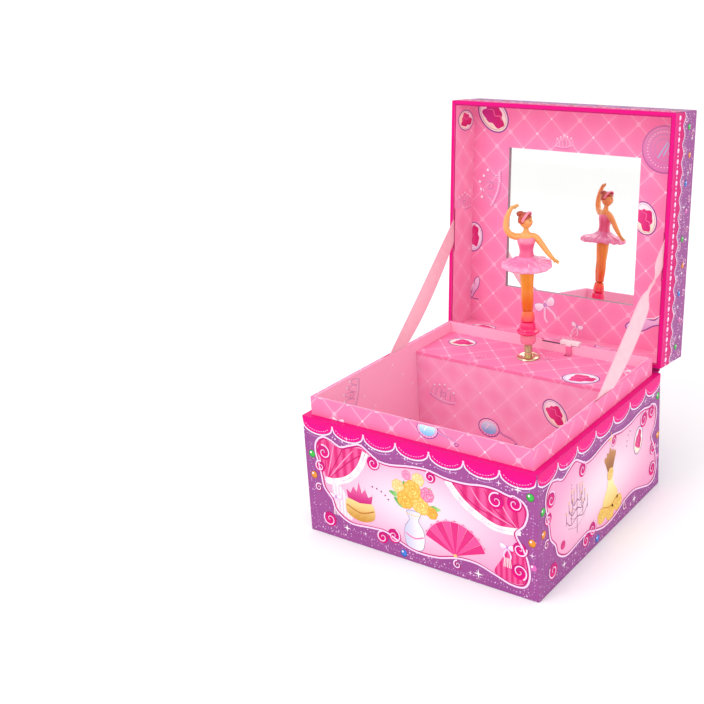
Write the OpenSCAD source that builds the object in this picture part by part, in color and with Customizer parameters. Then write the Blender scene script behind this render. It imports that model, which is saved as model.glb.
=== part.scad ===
// Musical jewellery box with a turning dancer: a paper-covered board box with a hinged
// mirror lid, a deep tray, a raised deck over a clockwork movement, and a doll that
// turns with the tune and lies down when the lid shuts.
// Frame: millimetres, +Z up, origin at the middle of the underside, -Y is the front.
// The drawn state is the lid standing open, the doll upright.

/* [Box] */
// Outside width
box_w = 150; // [120:1:200]
// Outside depth, front to back
box_d = 150; // [130:1:200]
// Height of the base, up to the shoulder the lid shuts on
base_h = 71.5; // [68:0.5:90]
// Thickness of the base walls, board and paper
base_wall = 3.6; // [3:0.1:4.5]
// Thickness of the bottom board
bottom_t = 2.4; // [1.5:0.1:4]
// Corner radius of the covered board edges
edge_r = 0.8; // [0.4:0.1:1.5]
// Height of the inner collar above the shoulder
neck_rise = 10.6; // [7:0.1:14]
// Thickness of the inner collar
neck_t = 2.0; // [1.5:0.1:2.5]

/* [Lid] */
// Height of the closed lid
lid_h = 31.5; // [29:0.5:40]
// Thickness of the lid's board
lid_wall = 2.1; // [1.5:0.1:2.4]
// Thickness of the card lining in the lid
lining_t = 0.8; // [0.5:0.1:1]
// Angle the open lid stands at
open_deg = 95.8; // [92:0.2:105]
// Depth from the lid's rim to the card round the mirror
panel_depth = 22.8; // [21:0.1:24]
// Thickness of that card
panel_t = 1.5; // [1:0.1:2]
// Side of the mirror window
window = 91; // [60:1:110]
// Distance from the hinge edge of the lid to the window
window_v = 29.5; // [24:0.5:36]
// Mirror thickness
glass_t = 2.0; // [1.5:0.1:2.2]

/* [Tray and deck] */
// Height of the deck's top
deck_z = 75.2; // [74:0.1:76]
// Depth of the deck from the collar's back face to its front edge
deck_d = 40.3; // [38:0.1:44]
// Thickness of the deck and of its front
deck_t = 2.0; // [1.5:0.1:2.4]
// Thickness of the pad on the tray's floor
pad_t = 1.6; // [1:0.1:3]
// Radius of the metal eyelet the spindle stands in
eyelet_r = 7.2; // [6:0.1:9]

/* [Dancer] */
// Sideways position of the spindle
spin_x = -2; // [-6:0.5:6]
// Spindle's distance behind the middle of the box
spin_y = 53; // [52:0.5:54]
// Spindle radius
spindle_r = 2.4; // [2:0.1:2.6]
// Height of the fold above the deck
fold_rise = 12.5; // [12:0.1:13]
// How far the doll leans over when the lid is shut
fold_deg = 106; // [104:0.5:108]
// Way the doll faces
doll_deg = 31; // [0:1:90]
// Radius of the skirt
skirt_r = 15.6; // [12:0.2:16]
// Height of the doll above the deck
doll_h = 96; // [88:0.5:98]

/* [Movement] */
// Radius of the tune cylinder
tune_r = 6.5; // [6:0.1:6.8]
// Running clearance of arbors and bushes, on the radius
run_fit = 0.05; // [0.01:0.01:0.1]
// Tooth size of the driving pair
drive_m = 0.575; // [0.5:0.005:0.6]
// Teeth of the great wheel
great_n = 40; // [40:1:40]
// Teeth of the pinion it drives
pinion_n = 12; // [12:1:12]
// Travel of the stop slide
stop_travel = 2.2; // [1:0.1:2.3]

/* [Ribbons] */
// Width of each lid ribbon
ribbon_w = 10; // [6:0.5:12]
// Thickness of the ribbon
ribbon_t = 0.35; // [0.2:0.05:0.4]
// Sag of the ribbon's middle
ribbon_sag = 4; // [0:0.5:6]

/* [Hidden] */

glue = 0.1;                       // gap left for glue and paper between fixed boards
e = 0.5;                          // overshoot of cutting shapes
hw = box_w / 2;
hd = box_d / 2;
neck_out_x = hw - base_wall - glue;
neck_out_y = hd - base_wall - glue;
neck_in_x = neck_out_x - neck_t;
neck_in_y = neck_out_y - neck_t;
neck_top = base_h + neck_rise;
deck_y0 = neck_in_y - deck_d;     // front face of the deck
hinge_y = hd + 1.0;               // the cloth hinge's axis, in its bulging spine
hinge_z = base_h + 1.6;
window_y1 = hd - window_v;        // window's hinge-side edge, lid shut
panel_z = base_h + panel_depth;   // card's inner face, lid shut
glass_z = panel_z + panel_t + glue;
back_z = glass_z + glass_t + glue;
lid_in_z = base_h + lid_h - lid_wall;
fold_z = deck_z + fold_rise;
spindle_top = deck_z + 3.8;
bed_y = neck_in_y - glue - 1.8;   // front face of the bedplate
crown_r = drive_m * great_n / 2;
pin_r = drive_m * pinion_n / 2;
crown_y = spin_y + pin_r;         // pitch plane of the great wheel
barrel_z = 19;
idler_x = spin_x + 11.25;
fly_x = idler_x + 8.0;
tune_z0 = 34;
tune_z1 = 56;
wheel_z = 57.5;
plate_z = 61;
key_x = spin_x;
stop_x = 17.5;
stop_z0 = neck_top - 1.2;         // underside of the tongue, in a notch of the collar's rim
rib_y0 = 11;                      // where a ribbon leaves the collar
rib_z0 = neck_top;
rib_v = 66;                       // where it meets the lid, from the hinge edge
board = [0.86, 0.27, 0.55];
print_c = [0.69, 0.33, 0.63];
liner_c = [1.0, 0.52, 0.71];
brass = [0.83, 0.68, 0.38];
steel = [0.75, 0.76, 0.78];
$fn = 64;

// ---------- helpers ----------
// upright block with rounded upright edges, centred on the origin in X and Y
module rblock(x, y, z, r) {
    translate([-x / 2 + r, -y / 2, 0]) cube([x - 2 * r, y, z]);
    translate([-x / 2, -y / 2 + r, 0]) cube([x, y - 2 * r, z]);
    for (sx = [-1, 1], sy = [-1, 1])
        translate([sx * (x / 2 - r), sy * (y / 2 - r), 0]) cylinder(h = z, r = r);
}

// four-sided wall between two rectangles
module ring_wall(ox, oy, ix, iy, z0, z1, r) {
    difference() {
        translate([0, 0, z0]) rblock(2 * ox, 2 * oy, z1 - z0, r);
        translate([-ix, -iy, z0 - e]) cube([2 * ix, 2 * iy, z1 - z0 + 2 * e]);
    }
}

// the lid is drawn shut, then stood open about the hinge
module opened() {
    translate([0, hinge_y, hinge_z]) rotate([-open_deg, 0, 0])
        translate([0, -hinge_y, -hinge_z]) children();
}

// flat gear blank with straight-flanked teeth; a tooth points along +X
module spur(n, m, h) {
    r = n * m / 2;
    ro = r + 0.8 * m;
    ri = r - 1.05 * m;
    p = 360 / n;
    linear_extrude(height = h)
        polygon([for (i = [0:n - 1], k = [0:3])
            let (a = i * p + [-0.30, -0.13, 0.13, 0.30][k] * p,
                 q = (k == 1 || k == 2) ? ro : ri)
            [q * cos(a), q * sin(a)]]);
}

// round hole along Y through everything behind the movement
module y_hole(x, z, r, y0, y1) {
    translate([x, y0, z]) rotate([-90, 0, 0]) cylinder(h = y1 - y0, r = r);
}

bed_holes = [[-25, 8], [-25, 59.5], [20, 8], [20, 57]];

// ---------- base ----------
module base_shell() {
    color(print_c) difference() {
        ring_wall(hw, hd, hw - base_wall, hd - base_wall, 0, base_h, edge_r);
        y_hole(key_x, barrel_z, 2.8, hd - base_wall - e, hd + e);
        for (p = bed_holes) y_hole(p[0], p[1], 1.15, hd - base_wall - e, hd - 1.2);
    }
}

module base_bottom() {
    color(print_c) rblock(2 * (hw - base_wall - glue), 2 * (hd - base_wall - glue), bottom_t, 0.4);
}

module neck_liner() {
    color(liner_c) difference() {
        ring_wall(neck_out_x, neck_out_y, neck_in_x, neck_in_y, bottom_t + glue, neck_top, 0.6);
        y_hole(key_x, barrel_z, 2.8, neck_in_y - e, neck_out_y + e);
        for (p = bed_holes) y_hole(p[0], p[1], 1.15, neck_in_y - e, neck_out_y + e);
        // notch for the stop tongue
        translate([stop_x - 19, neck_in_y - e, stop_z0 - 0.35]) cube([26, neck_t + 2 * e, 3]);
        // slits the ribbons' ends are glued in
        for (s = [-1, 1])
            translate([s * (neck_in_x + neck_t / 2) - 0.6, rib_y0 - 15, neck_top - 7])
                cube([1.2, 24, 7 + e]);
    }
}

module compartment_floor() {
    color(liner_c) translate([0, (deck_y0 - neck_in_y) / 2, bottom_t + glue])
        rblock(2 * neck_in_x - 0.4, deck_y0 + neck_in_y - 0.4, pad_t, 0.5);
}

module platform_front() {
    color(liner_c) translate([-neck_in_x + glue, deck_y0, bottom_t + glue])
        cube([2 * (neck_in_x - glue), deck_t, deck_z - deck_t - bottom_t - 2 * glue]);
}

module platform_deck() {
    color(liner_c) difference() {
        translate([-neck_in_x + glue, deck_y0, deck_z - deck_t])
            cube([2 * (neck_in_x - glue), deck_d - glue, deck_t]);
        translate([spin_x, spin_y, deck_z - deck_t - e]) cylinder(h = deck_t + 2 * e, r = 4.1);
        translate([stop_x - 2.2, neck_in_y - 4.4, deck_z - deck_t - e]) cube([4.4, 5.4, deck_t + 2 * e]);
    }
}

module deck_eyelet() {
    color(brass) translate([spin_x, spin_y, deck_z]) rotate_extrude()
        polygon([[spindle_r + run_fit, 0.6], [spindle_r + run_fit, -4], [3.6, -4.2], [4.0, -3.6],
                 [4.0, 0.02], [eyelet_r - 0.3, 0.02], [eyelet_r, 0.35], [eyelet_r - 0.4, 0.9],
                 [eyelet_r - 1.5, 1.35], [eyelet_r - 2.6, 1.2], [spindle_r + 1.1, 0.7]]);
}

module hinge_leaf_base() {
    color(print_c) translate([-hw + 1.5, hd + 0.02, base_h - 14]) cube([box_w - 3, 0.3, 14.6]);
}

// the bulging cloth between the two leaves
module hinge_spine() {
    a1 = -open_deg + 180 - atan2(0.6, 0.8);
    color(print_c) translate([0, hinge_y, hinge_z]) rotate([90, 0, 90])
        translate([0, 0, -hw + 1.5]) linear_extrude(height = box_w - 3)
            polygon(concat(
                [for (i = [0:8]) let (a = 223 + (a1 + 360 - 223 - 20) * i / 8) [1.25 * cos(a), 1.25 * sin(a)]],
                [for (i = [8:-1:0]) let (a = 223 + (a1 + 360 - 223 - 20) * i / 8) [0.95 * cos(a), 0.95 * sin(a)]]));
}

module key_plate() {
    color(brass) translate([key_x, hd + 0.02, barrel_z]) rotate([-90, 0, 0]) difference() {
        cylinder(h = 0.9, r = 7);
        translate([0, 0, -e]) cylinder(h = 2, r = 2 + run_fit);
    }
}

// ---------- clockwork, fixed parts ----------
module bedplate() {
    color(steel) difference() {
        translate([-29, bed_y, 4.5]) cube([53, 1.8, 58.5]);
        y_hole(key_x, barrel_z, 2 + run_fit, bed_y - e, bed_y + 1.8 + e);
        for (p = bed_holes) y_hole(p[0], p[1], 1.15, bed_y - e, bed_y + 1.8 + e);
    }
}

module bedplate_screws() {
    color(steel) for (p = bed_holes) translate([p[0], bed_y - glue, p[1]]) rotate([-90, 0, 0])
        difference() {
            union() {
                translate([0, 0, -1.2]) cylinder(h = 1.2, r = 2.1);
                cylinder(h = 5.6, r = 1.1);
            }
            translate([-2.5, -0.25, -1.2 - e]) cube([5, 0.5, 0.5 + e]);
        }
}

// carries the lower end of the tune cylinder's arbor, past the spring barrel
module lower_bracket() {
    color(steel) difference() {
        union() {
            translate([-18.6, 50, 25]) cube([1.4, bed_y - 50 - glue, 2.4]);
            translate([-18.6, 50, 25.6]) cube([19.6, 5.4, 1.4]);
            translate([-23.6, bed_y - 1.3 - glue, 25]) cube([6, 1.3, 2.4]);
        }
        translate([spin_x, spin_y, 25]) cylinder(h = 3, r = 1.2 + run_fit);
    }
}

// upper plate: spindle, idler and fly turn in it
module train_bracket() {
    color(steel) difference() {
        union() {
            translate([-9, 47.5, plate_z]) cube([31, bed_y - 47.5 - glue, 1.4]);
            translate([-9, bed_y - 1.4 - glue, plate_z - 4]) cube([24, 1.4, 5]);
        }
        translate([spin_x, spin_y, plate_z - e]) cylinder(h = 3, r = spindle_r + run_fit);
        translate([idler_x, spin_y, plate_z - e]) cylinder(h = 3, r = 0.9 + run_fit);
        translate([fly_x, spin_y, plate_z - e]) cylinder(h = 3, r = 0.6 + run_fit);
    }
}

// lower plate of the idler and the fly
module footstep_bracket() {
    color(steel) difference() {
        union() {
            translate([6.2, 50.5, 53.2]) cube([15, bed_y - 50.5 - glue, 1.4]);
            translate([6.2, bed_y - 1.4 - glue, 49.5]) cube([12, 1.4, 5]);
        }
        translate([idler_x, spin_y, 53]) cylinder(h = 3, r = 0.9 + run_fit);
        translate([fly_x, spin_y, 53]) cylinder(h = 3, r = 0.6 + run_fit);
    }
}

comb_y = spin_y - 0.3;
comb_rows = [for (i = [0:17]) tune_z0 + 1.4 + i * 1.13];

module comb_block() {
    color(steel) difference() {
        translate([-26, comb_y + 0.7, tune_z0 - 1]) cube([8, bed_y - comb_y - 0.7 - glue, 23.4]);
        for (z = [38, 45, 52]) y_hole(-22, z, 1.15, comb_y, comb_y + 7);
    }
}

module comb() {
    color([0.82, 0.83, 0.86]) difference() {
        union() {
            translate([-26, comb_y, tune_z0 - 0.6]) cube([9, 0.6, 22.4]);
            for (z = comb_rows)
                translate([-17.5, comb_y, z - 0.42]) cube([spin_x - tune_r - 0.85 + 17.5, 0.6, 0.84]);
        }
        for (z = [38, 45, 52]) y_hole(-22, z, 1.15, comb_y - e, comb_y + 1.4);
    }
}

module comb_screws() {
    color(brass) for (z = [38, 45, 52]) translate([-22, comb_y - 0.05, z]) rotate([-90, 0, 0])
        difference() {
            union() {
                translate([0, 0, -1.3]) cylinder(h = 1.3, r = 2.2);
                cylinder(h = 6.5, r = 1.1);
            }
            translate([-2.6, -0.3, -1.3 - e]) cube([5.2, 0.6, 0.6 + e]);
        }
}

// channel under the deck that the stop slides in
module stop_guide() {
    color([0.93, 0.9, 0.84]) difference() {
        translate([stop_x - 6, neck_in_y - 4, deck_z - deck_t - glue - 5]) cube([12, 3.8, 5]);
        translate([stop_x - 3.3, neck_in_y - 4 - e, deck_z - deck_t - glue - 4])
            cube([6.6, 3.8 + 2 * e, 4 + e]);
    }
}

// ---------- ribbons ----------
// one ribbon, flat in the Y-Z plane, from the collar to the lid's rim
module ribbon(s) {
    t = open_deg;
    v1 = rib_v;
    ye = hinge_y + (v1 + 1.0) * -cos(t) - 1.6 * sin(t);
    ze = hinge_z + (v1 + 1.0) * sin(t) - 1.6 * cos(t);
    dy = ye - rib_y0;
    dz = ze - rib_z0;
    len = sqrt(dy * dy + dz * dz);
    ux = dy / len;
    uz = dz / len;
    n = 16;
    x0 = neck_in_x + neck_t / 2;
    x1 = hw - lid_wall - lining_t / 2;
    w = ribbon_w / 2;
    pts = [for (i = [-1:n + 1]) let (q = i < 0 ? -6 / len : i > n ? 1 + 4 / len : i / n,
                                     sg = (i <= 0 || i >= n) ? 0 : -ribbon_sag * sin(180 * q))
           [rib_y0 + q * dy - uz * sg * -1, rib_z0 + q * dz + ux * sg]];
    color([1, 0.72, 0.81]) translate([s * x0, rib_y0, 0])
        rotate([0, 0, -s * atan2(x1 - x0, dy)]) translate([-ribbon_t / 2, -rib_y0, 0])
            rotate([90, 0, 90]) linear_extrude(height = ribbon_t)
                polygon(concat([for (p = pts) [p[0] - uz * w, p[1] + ux * w]],
                               [for (i = [len(pts) - 1:-1:0]) [pts[i][0] + uz * w, pts[i][1] - ux * w]]));
}

module ribbon_left() { ribbon(-1); }
module ribbon_right() { ribbon(1); }

// ---------- lid, drawn shut and stood open ----------
module lid_shell() {
    color(print_c) opened() difference() {
        translate([0, 0, base_h]) rblock(box_w, box_d, lid_h, edge_r);
        translate([-hw + lid_wall, -hd + lid_wall, base_h - e])
            cube([box_w - 2 * lid_wall, box_d - 2 * lid_wall, lid_h - lid_wall + e]);
    }
}

module lid_liner() {
    o = lid_wall + 0.05;
    color(liner_c) opened() difference() {
        ring_wall(hw - o, hd - o, hw - lid_wall - lining_t, hd - lid_wall - lining_t,
                  base_h + 0.4, panel_z - 0.05, 0.3);
        for (s = [-1, 1])
            translate([s * (hw - lid_wall - lining_t / 2) - 1, hd - rib_v - 14, base_h - e])
                cube([2, 26, 10]);
    }
}

module mirror_frame() {
    o = lid_wall + 0.1;
    color(liner_c) opened() difference() {
        translate([-hw + o, -hd + o, panel_z]) cube([box_w - 2 * o, box_d - 2 * o, panel_t]);
        translate([-window / 2, window_y1 - window, panel_z - e]) cube([window, window, panel_t + 2 * e]);
    }
}

module mirror_glass() {
    color([0.85, 0.9, 0.93]) opened()
        translate([-window / 2 - 3, window_y1 - window - 3, glass_z])
            cube([window + 6, window + 6, glass_t]);
}

module mirror_backing() {
    color([0.6, 0.58, 0.55]) opened()
        translate([-window / 2 - 8, window_y1 - window - 8, back_z]) cube([window + 16, window + 16, 0.9]);
}

module lid_spacers() {
    z0 = panel_z + panel_t + 0.05;
    color([0.6, 0.58, 0.55]) opened() for (s = [-1, 1])
        translate([s * (hw - 12) - 4, -60, z0]) cube([8, 120, lid_in_z - z0 - 0.05]);
}

module hinge_leaf_lid() {
    color(print_c) opened() translate([-hw + 1.5, hd + 0.02, base_h + 2.4]) cube([box_w - 3, 0.3, 12.6]);
}

// ---------- what turns with the tune ----------
module spindle() {
    color(brass) translate([spin_x, spin_y, 0]) {
        translate([0, 0, 25.2]) cylinder(h = 7.2, r = 1.2);
        translate([0, 0, 32.4]) cylinder(h = 26, r = 1.8);
        translate([0, 0, 58.4]) cylinder(h = spindle_top - 58.4 - 0.4, r = spindle_r);
        translate([0, 0, spindle_top - 0.4]) cylinder(h = 0.4, r1 = spindle_r, r2 = spindle_r - 0.4);
    }
}

module tune_cylinder() {
    color(brass) translate([spin_x, spin_y, tune_z0]) difference() {
        cylinder(h = tune_z1 - tune_z0, r = tune_r);
        translate([0, 0, -e]) cylinder(h = 40, r = 1.82);
    }
}

module tune_pins() {
    color(steel) translate([spin_x, spin_y, 0]) for (i = [0:17], k = [0:1])
        rotate([0, 0, (i * 97 + k * 151) % 340 + 10]) translate([tune_r + 0.02, 0, comb_rows[i]])
            rotate([0, 90, 0]) cylinder(h = 0.45, r = 0.22, $fn = 16);
}

module drive_pinion() {
    color(brass) translate([spin_x, spin_y, barrel_z + crown_r - 1.6]) difference() {
        rotate([0, 0, 15]) spur(pinion_n, drive_m, 3.2);
        translate([0, 0, -e]) cylinder(h = 5, r = 1.22);
    }
}

module cylinder_wheel() {
    color(brass) translate([spin_x, spin_y, wheel_z]) difference() {
        spur(36, 0.5, 0.88);
        translate([0, 0, -e]) cylinder(h = 3, r = 1.82);
        for (a = [30:60:330]) rotate([0, 0, a]) translate([5.2, 0, -e]) cylinder(h = 3, r = 1.5);
    }
}

// ---------- spring barrel ----------
module at_barrel(y) { translate([key_x, y, barrel_z]) rotate([-90, 0, 0]) children(); }

module great_wheel() {
    color(brass) difference() {
        union() {
            at_barrel(crown_y + 0.75) cylinder(h = 1.2, r = crown_r + 1.5);
            for (i = [0:great_n - 1]) at_barrel(crown_y - 0.42) rotate([0, 0, i * 360 / great_n])
                translate([crown_r - 1.4, -0.34, 0]) cube([2.8, 0.68, 1.3]);
        }
        at_barrel(crown_y - 1) cylinder(h = 5, r = 2 + run_fit);
    }
}

module spring_barrel() {
    color(steel) difference() {
        at_barrel(crown_y + 2.0) cylinder(h = 7.2, r = crown_r + 0.5);
        at_barrel(crown_y + 3.0) cylinder(h = 9, r = crown_r - 0.3);
        at_barrel(crown_y) cylinder(h = 12, r = 2 + run_fit);
    }
}

module barrel_cover() {
    color(brass) difference() {
        at_barrel(crown_y + 8.3) cylinder(h = 0.85, r = crown_r - 0.35);
        at_barrel(crown_y) cylinder(h = 12, r = 2 + run_fit);
    }
}

// ---------- idler and fly ----------
module idler_arbor() {
    color(steel) translate([idler_x, spin_y, 53.3]) cylinder(h = 12.4, r = 0.9);
}

module idler_pinion() {
    color(brass) translate([idler_x, spin_y, wheel_z - 0.4]) difference() {
        spur(9, 0.5, 1.9);
        translate([0, 0, -e]) cylinder(h = 3, r = 0.92);
    }
}

module idler_wheel() {
    color(brass) translate([idler_x, spin_y, 63.6]) difference() {
        spur(32, 0.4, 1.0);
        translate([0, 0, -e]) cylinder(h = 3, r = 0.92);
    }
}

module fly_arbor() {
    color(steel) translate([fly_x, spin_y, 53.3]) cylinder(h = 18.2, r = 0.6);
}

module fly_pinion() {
    color(brass) translate([fly_x, spin_y, 63.2]) difference() {
        rotate([0, 0, 22.5]) spur(8, 0.4, 1.8);
        translate([0, 0, -e]) cylinder(h = 3, r = 0.62);
    }
}

module fly_vane() {
    color([0.9, 0.9, 0.88]) translate([fly_x, spin_y, 66.2]) difference() {
        union() {
            cylinder(h = 4.6, r = 1.5);
            translate([-5, -0.4, 0]) cube([10, 0.8, 4.6]);
        }
        translate([0, 0, -e]) cylinder(h = 6, r = 0.62);
    }
}

// ---------- key ----------
module winding_arbor() {
    color(steel) {
        at_barrel(crown_y + 0.85) cylinder(h = hd + 4 - crown_y - 0.85, r = 2);
        at_barrel(hd + 4) cylinder(h = 6, r = 1.4);
    }
}

module winding_key() {
    color(brass) {
        difference() {
            at_barrel(hd + 4.1) cylinder(h = 7.4, r = 2.6);
            at_barrel(hd + 3) cylinder(h = 7.4, r = 1.42);
        }
        for (s = [-1, 1]) difference() {
            translate([key_x + s * 7.2, hd + 14.5, barrel_z]) rotate([90, 0, 0])
                translate([0, 0, -0.9]) rotate([90, 0, 0]) cylinder(h = 1.8, r = 5.2, center = true);
            translate([key_x + s * 7.6, hd + 15.4, barrel_z]) cylinder(h = 4, r = 2.6, center = true);
            at_barrel(hd + 3) cylinder(h = 8.3, r = 2.62);
        }
        translate([key_x - 4, hd + 11.6, barrel_z - 0.9]) cube([8, 4.4, 1.8]);
    }
}

// ---------- stop ----------
module stop_slider() {
    yb = neck_in_y - 0.25;                    // back of the riser, lid open
    z0 = deck_z - deck_t - 4;
    color([0.97, 0.96, 0.94]) {
        translate([stop_x - 1.6, yb - 1.4, z0]) cube([3.2, 1.4, stop_z0 + 2 - z0]);
        translate([stop_x - 1.6, yb - 1.4, stop_z0]) cube([3.2, 2.4, 2]);
        translate([stop_x - 6.4, neck_in_y + 0.05, stop_z0]) cube([12.8, neck_t + 1.85, 2]);
        translate([stop_x - 3, fly_brake_y + 1.2, z0]) cube([6, yb - fly_brake_y - 1.2, 2]);
        translate([fly_x - 1.5, fly_brake_y + 1.2, z0 - 2.8]) cube([3, 2.4, 4.8]);
    }
}

fly_brake_y = spin_y + 5.02 + 0.45 + stop_travel;

module stop_pad() {
    color([0.75, 0.1, 0.35]) translate([fly_x - 1.5, fly_brake_y, deck_z - 8.6]) cube([3, 1.15, 2.2]);
}

// ---------- dancer ----------
module on_spindle(z) { translate([spin_x, spin_y, z]) rotate([0, 0, doll_deg]) children(); }

module fold_spring() {
    n = 16;
    z0 = spindle_top + 0.05;
    h = fold_z + 0.5 - z0;
    color(brass) on_spindle(z0) rotate_extrude() {
        square([2.0, h]);
        for (i = [0:n - 1]) translate([spindle_r - h / n / 2, (i + 0.5) * h / n])
            circle(r = h / n / 2 - 0.005, $fn = 24);
    }
}

module fold_cup() {
    r = 5.0;
    color([1, 0.45, 0.66]) on_spindle(fold_z) difference() {
        rotate_extrude() polygon(concat([[0, 2.9], [0, -4.0]],
            [for (a = [-53:10:27]) [r * cos(a), r * sin(a)]], [[4.2, 2.9]]));
        translate([0, 0, -6]) cylinder(h = 6.6, r = spindle_r + 0.25);
    }
}

dz = doll_h / 96;                             // doll heights scale with its size
function dh(z) = deck_z + 16 + (z - 16) * dz; // z measured up from the deck

module doll_pedestal() {
    color([1, 0.16, 0.42]) on_spindle(0) rotate_extrude()
        polygon([[0, dh(15.6)], [3.9, dh(15.6)], [3.9, dh(16.2)], [6.6, dh(16.2)], [7.0, dh(16.6)],
                 [7.0, dh(17.7)], [6.5, dh(18.2)], [4.7, dh(18.5)], [4.5, dh(23.4)], [0, dh(23.4)]]);
}

module doll_ankles() {
    color([1, 0.42, 0.4]) on_spindle(0) rotate_extrude()
        polygon([[0, dh(23.45)], [4.4, dh(23.45)], [4.2, dh(26)], [3.8, dh(28.5)], [3.5, dh(30.4)],
                 [0, dh(30.4)]]);
}

module doll_legs() {
    color([1, 0.6, 0.2]) on_spindle(0) rotate_extrude()
        polygon([[0, dh(30.45)], [3.4, dh(30.45)], [3.45, dh(34)], [3.75, dh(38)], [3.8, dh(42)],
                 [3.7, dh(45)], [3.8, dh(48)], [4.2, dh(51)], [4.5, dh(54)], [4.6, dh(57.2)],
                 [0, dh(57.2)]]);
}

module doll_skirt() {
    r = skirt_r;
    color([1, 0.8, 0.86]) on_spindle(0) difference() {
        union() {
            rotate_extrude() polygon([[0, dh(57.25)], [4.6, dh(57.25)], [r * 0.6, dh(56.9)],
                [r - 2.2, dh(56.5)], [r - 1.6, dh(58.2)], [r - 2.4, dh(60.4)], [r * 0.6, dh(62.4)],
                [r * 0.42, dh(64.6)], [5.2, dh(67)], [0, dh(67)]]);
            for (a = [0:30:330]) rotate([0, 0, a]) translate([r - 2.7, 0, dh(56.6)])
                cylinder(h = 2.6, r = 2.7, $fn = 32);
        }
        translate([0, 0, dh(63.5)]) cylinder(h = 20, r = 4.3);
    }
}

module doll_bodice() {
    color([1, 0.5, 0.68]) on_spindle(0) rotate_extrude()
        polygon([[0, dh(63.55)], [4.2, dh(63.55)], [4.2, dh(67.8)], [4.3, dh(69)], [4.9, dh(71.2)],
                 [5.5, dh(73.8)], [5.4, dh(75.4)], [4.2, dh(76.9)], [0, dh(76.9)]]);
}

// a limb of round section along a list of [x, y, z, radius]
module limb(p) {
    for (i = [0:len(p) - 2]) hull() {
        translate([p[i][0], p[i][1], p[i][2]]) sphere(r = p[i][3], $fn = 20);
        translate([p[i + 1][0], p[i + 1][1], p[i + 1][2]]) sphere(r = p[i + 1][3], $fn = 20);
    }
}

module doll_arms() {
    color([1, 0.72, 0.55]) on_spindle(0) {
        limb([[-7.3, 0, dh(75), 1.6], [-11, -0.6, dh(78), 1.45], [-13.4, -1, dh(83), 1.35],
              [-12.4, -1.2, dh(90), 1.15], [-8.8, -1.5, dh(94.6), 1], [-6, -1.5, dh(96), 1.1]]);
        limb([[7.3, 0, dh(74.4), 1.6], [12.2, -1.5, dh(68.5), 1.4], [16.6, -2.5, dh(61.6), 1.3]]);
    }
}

module doll_head() {
    color([1, 0.78, 0.62]) on_spindle(0) rotate_extrude()
        polygon([[0, dh(76.95)], [1.7, dh(76.95)], [1.6, dh(78.9)], [2.8, dh(79.4)], [4.0, dh(81.1)],
                 [4.5, dh(83.5)], [4.4, dh(85.1)], [0, dh(85.1)]]);
}

module doll_hair() {
    color([0.9, 0.4, 0.2]) on_spindle(0) rotate_extrude()
        polygon([[0, dh(86.45)], [4.8, dh(86.45)], [4.7, dh(87.7)], [3.6, dh(89.7)], [2.4, dh(90.5)],
                 [2.7, dh(91.3)], [2.3, dh(92.4)], [1.2, dh(92.9)], [0, dh(92.9)]]);
}

module doll_headband() {
    color([1, 0.3, 0.6]) on_spindle(dh(85.15)) cylinder(h = 1.25 * dz, r = 4.95);
}

base_shell();
base_bottom();
neck_liner();
compartment_floor();
platform_front();
platform_deck();
deck_eyelet();
hinge_leaf_base();
hinge_spine();
key_plate();
bedplate();
bedplate_screws();
lower_bracket();
train_bracket();
footstep_bracket();
comb_block();
comb();
comb_screws();
stop_guide();
ribbon_left();
ribbon_right();
lid_shell();
lid_liner();
mirror_frame();
mirror_glass();
mirror_backing();
lid_spacers();
hinge_leaf_lid();
spindle();
tune_cylinder();
tune_pins();
drive_pinion();
cylinder_wheel();
great_wheel();
spring_barrel();
barrel_cover();
idler_arbor();
idler_pinion();
idler_wheel();
fly_arbor();
fly_pinion();
fly_vane();
winding_arbor();
winding_key();
stop_slider();
stop_pad();
fold_spring();
fold_cup();
doll_pedestal();
doll_ankles();
doll_legs();
doll_skirt();
doll_bodice();
doll_arms();
doll_head();
doll_hair();
doll_headband();
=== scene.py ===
import bpy, bmesh, math, random
from math import sin, cos, pi, radians
from mathutils import Vector, Matrix
from mathutils.geometry import tessellate_polygon


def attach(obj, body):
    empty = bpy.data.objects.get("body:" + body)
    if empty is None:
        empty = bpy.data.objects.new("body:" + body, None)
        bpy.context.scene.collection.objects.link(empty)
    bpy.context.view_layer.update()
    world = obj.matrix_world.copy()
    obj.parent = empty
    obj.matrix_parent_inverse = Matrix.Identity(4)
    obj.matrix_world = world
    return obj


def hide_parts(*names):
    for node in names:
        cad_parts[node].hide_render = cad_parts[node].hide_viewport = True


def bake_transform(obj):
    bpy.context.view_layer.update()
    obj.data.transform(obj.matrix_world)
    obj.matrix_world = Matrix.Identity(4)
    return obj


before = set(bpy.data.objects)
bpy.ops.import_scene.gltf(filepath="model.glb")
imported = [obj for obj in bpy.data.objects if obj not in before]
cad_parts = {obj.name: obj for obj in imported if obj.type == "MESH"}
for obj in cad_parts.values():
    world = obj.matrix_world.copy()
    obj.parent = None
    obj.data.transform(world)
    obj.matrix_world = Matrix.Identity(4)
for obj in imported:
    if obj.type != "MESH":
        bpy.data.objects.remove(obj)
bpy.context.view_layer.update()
S = bpy.context.scene
S.view_settings.view_transform = "Standard"
MM = 0.001

# ---------- sizes shared with the part, in millimetres ----------
HW, HD, BASE_H, LID_H = 75.0, 75.0, 71.5, 31.5
OPEN = radians(95.8)
HINGE = Vector((0, 76.0, 73.1))
NECK_OUT, NECK_IN, NECK_TOP = 71.3, 69.3, 82.1
STOP_Z = NECK_TOP - 1.2
DECK_Z, DECK_Y0 = 75.2, 29.0
PANEL_Z = BASE_H + 22.8
SPIN = Vector((-2, 53, 0))
DOLL = radians(31)
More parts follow.
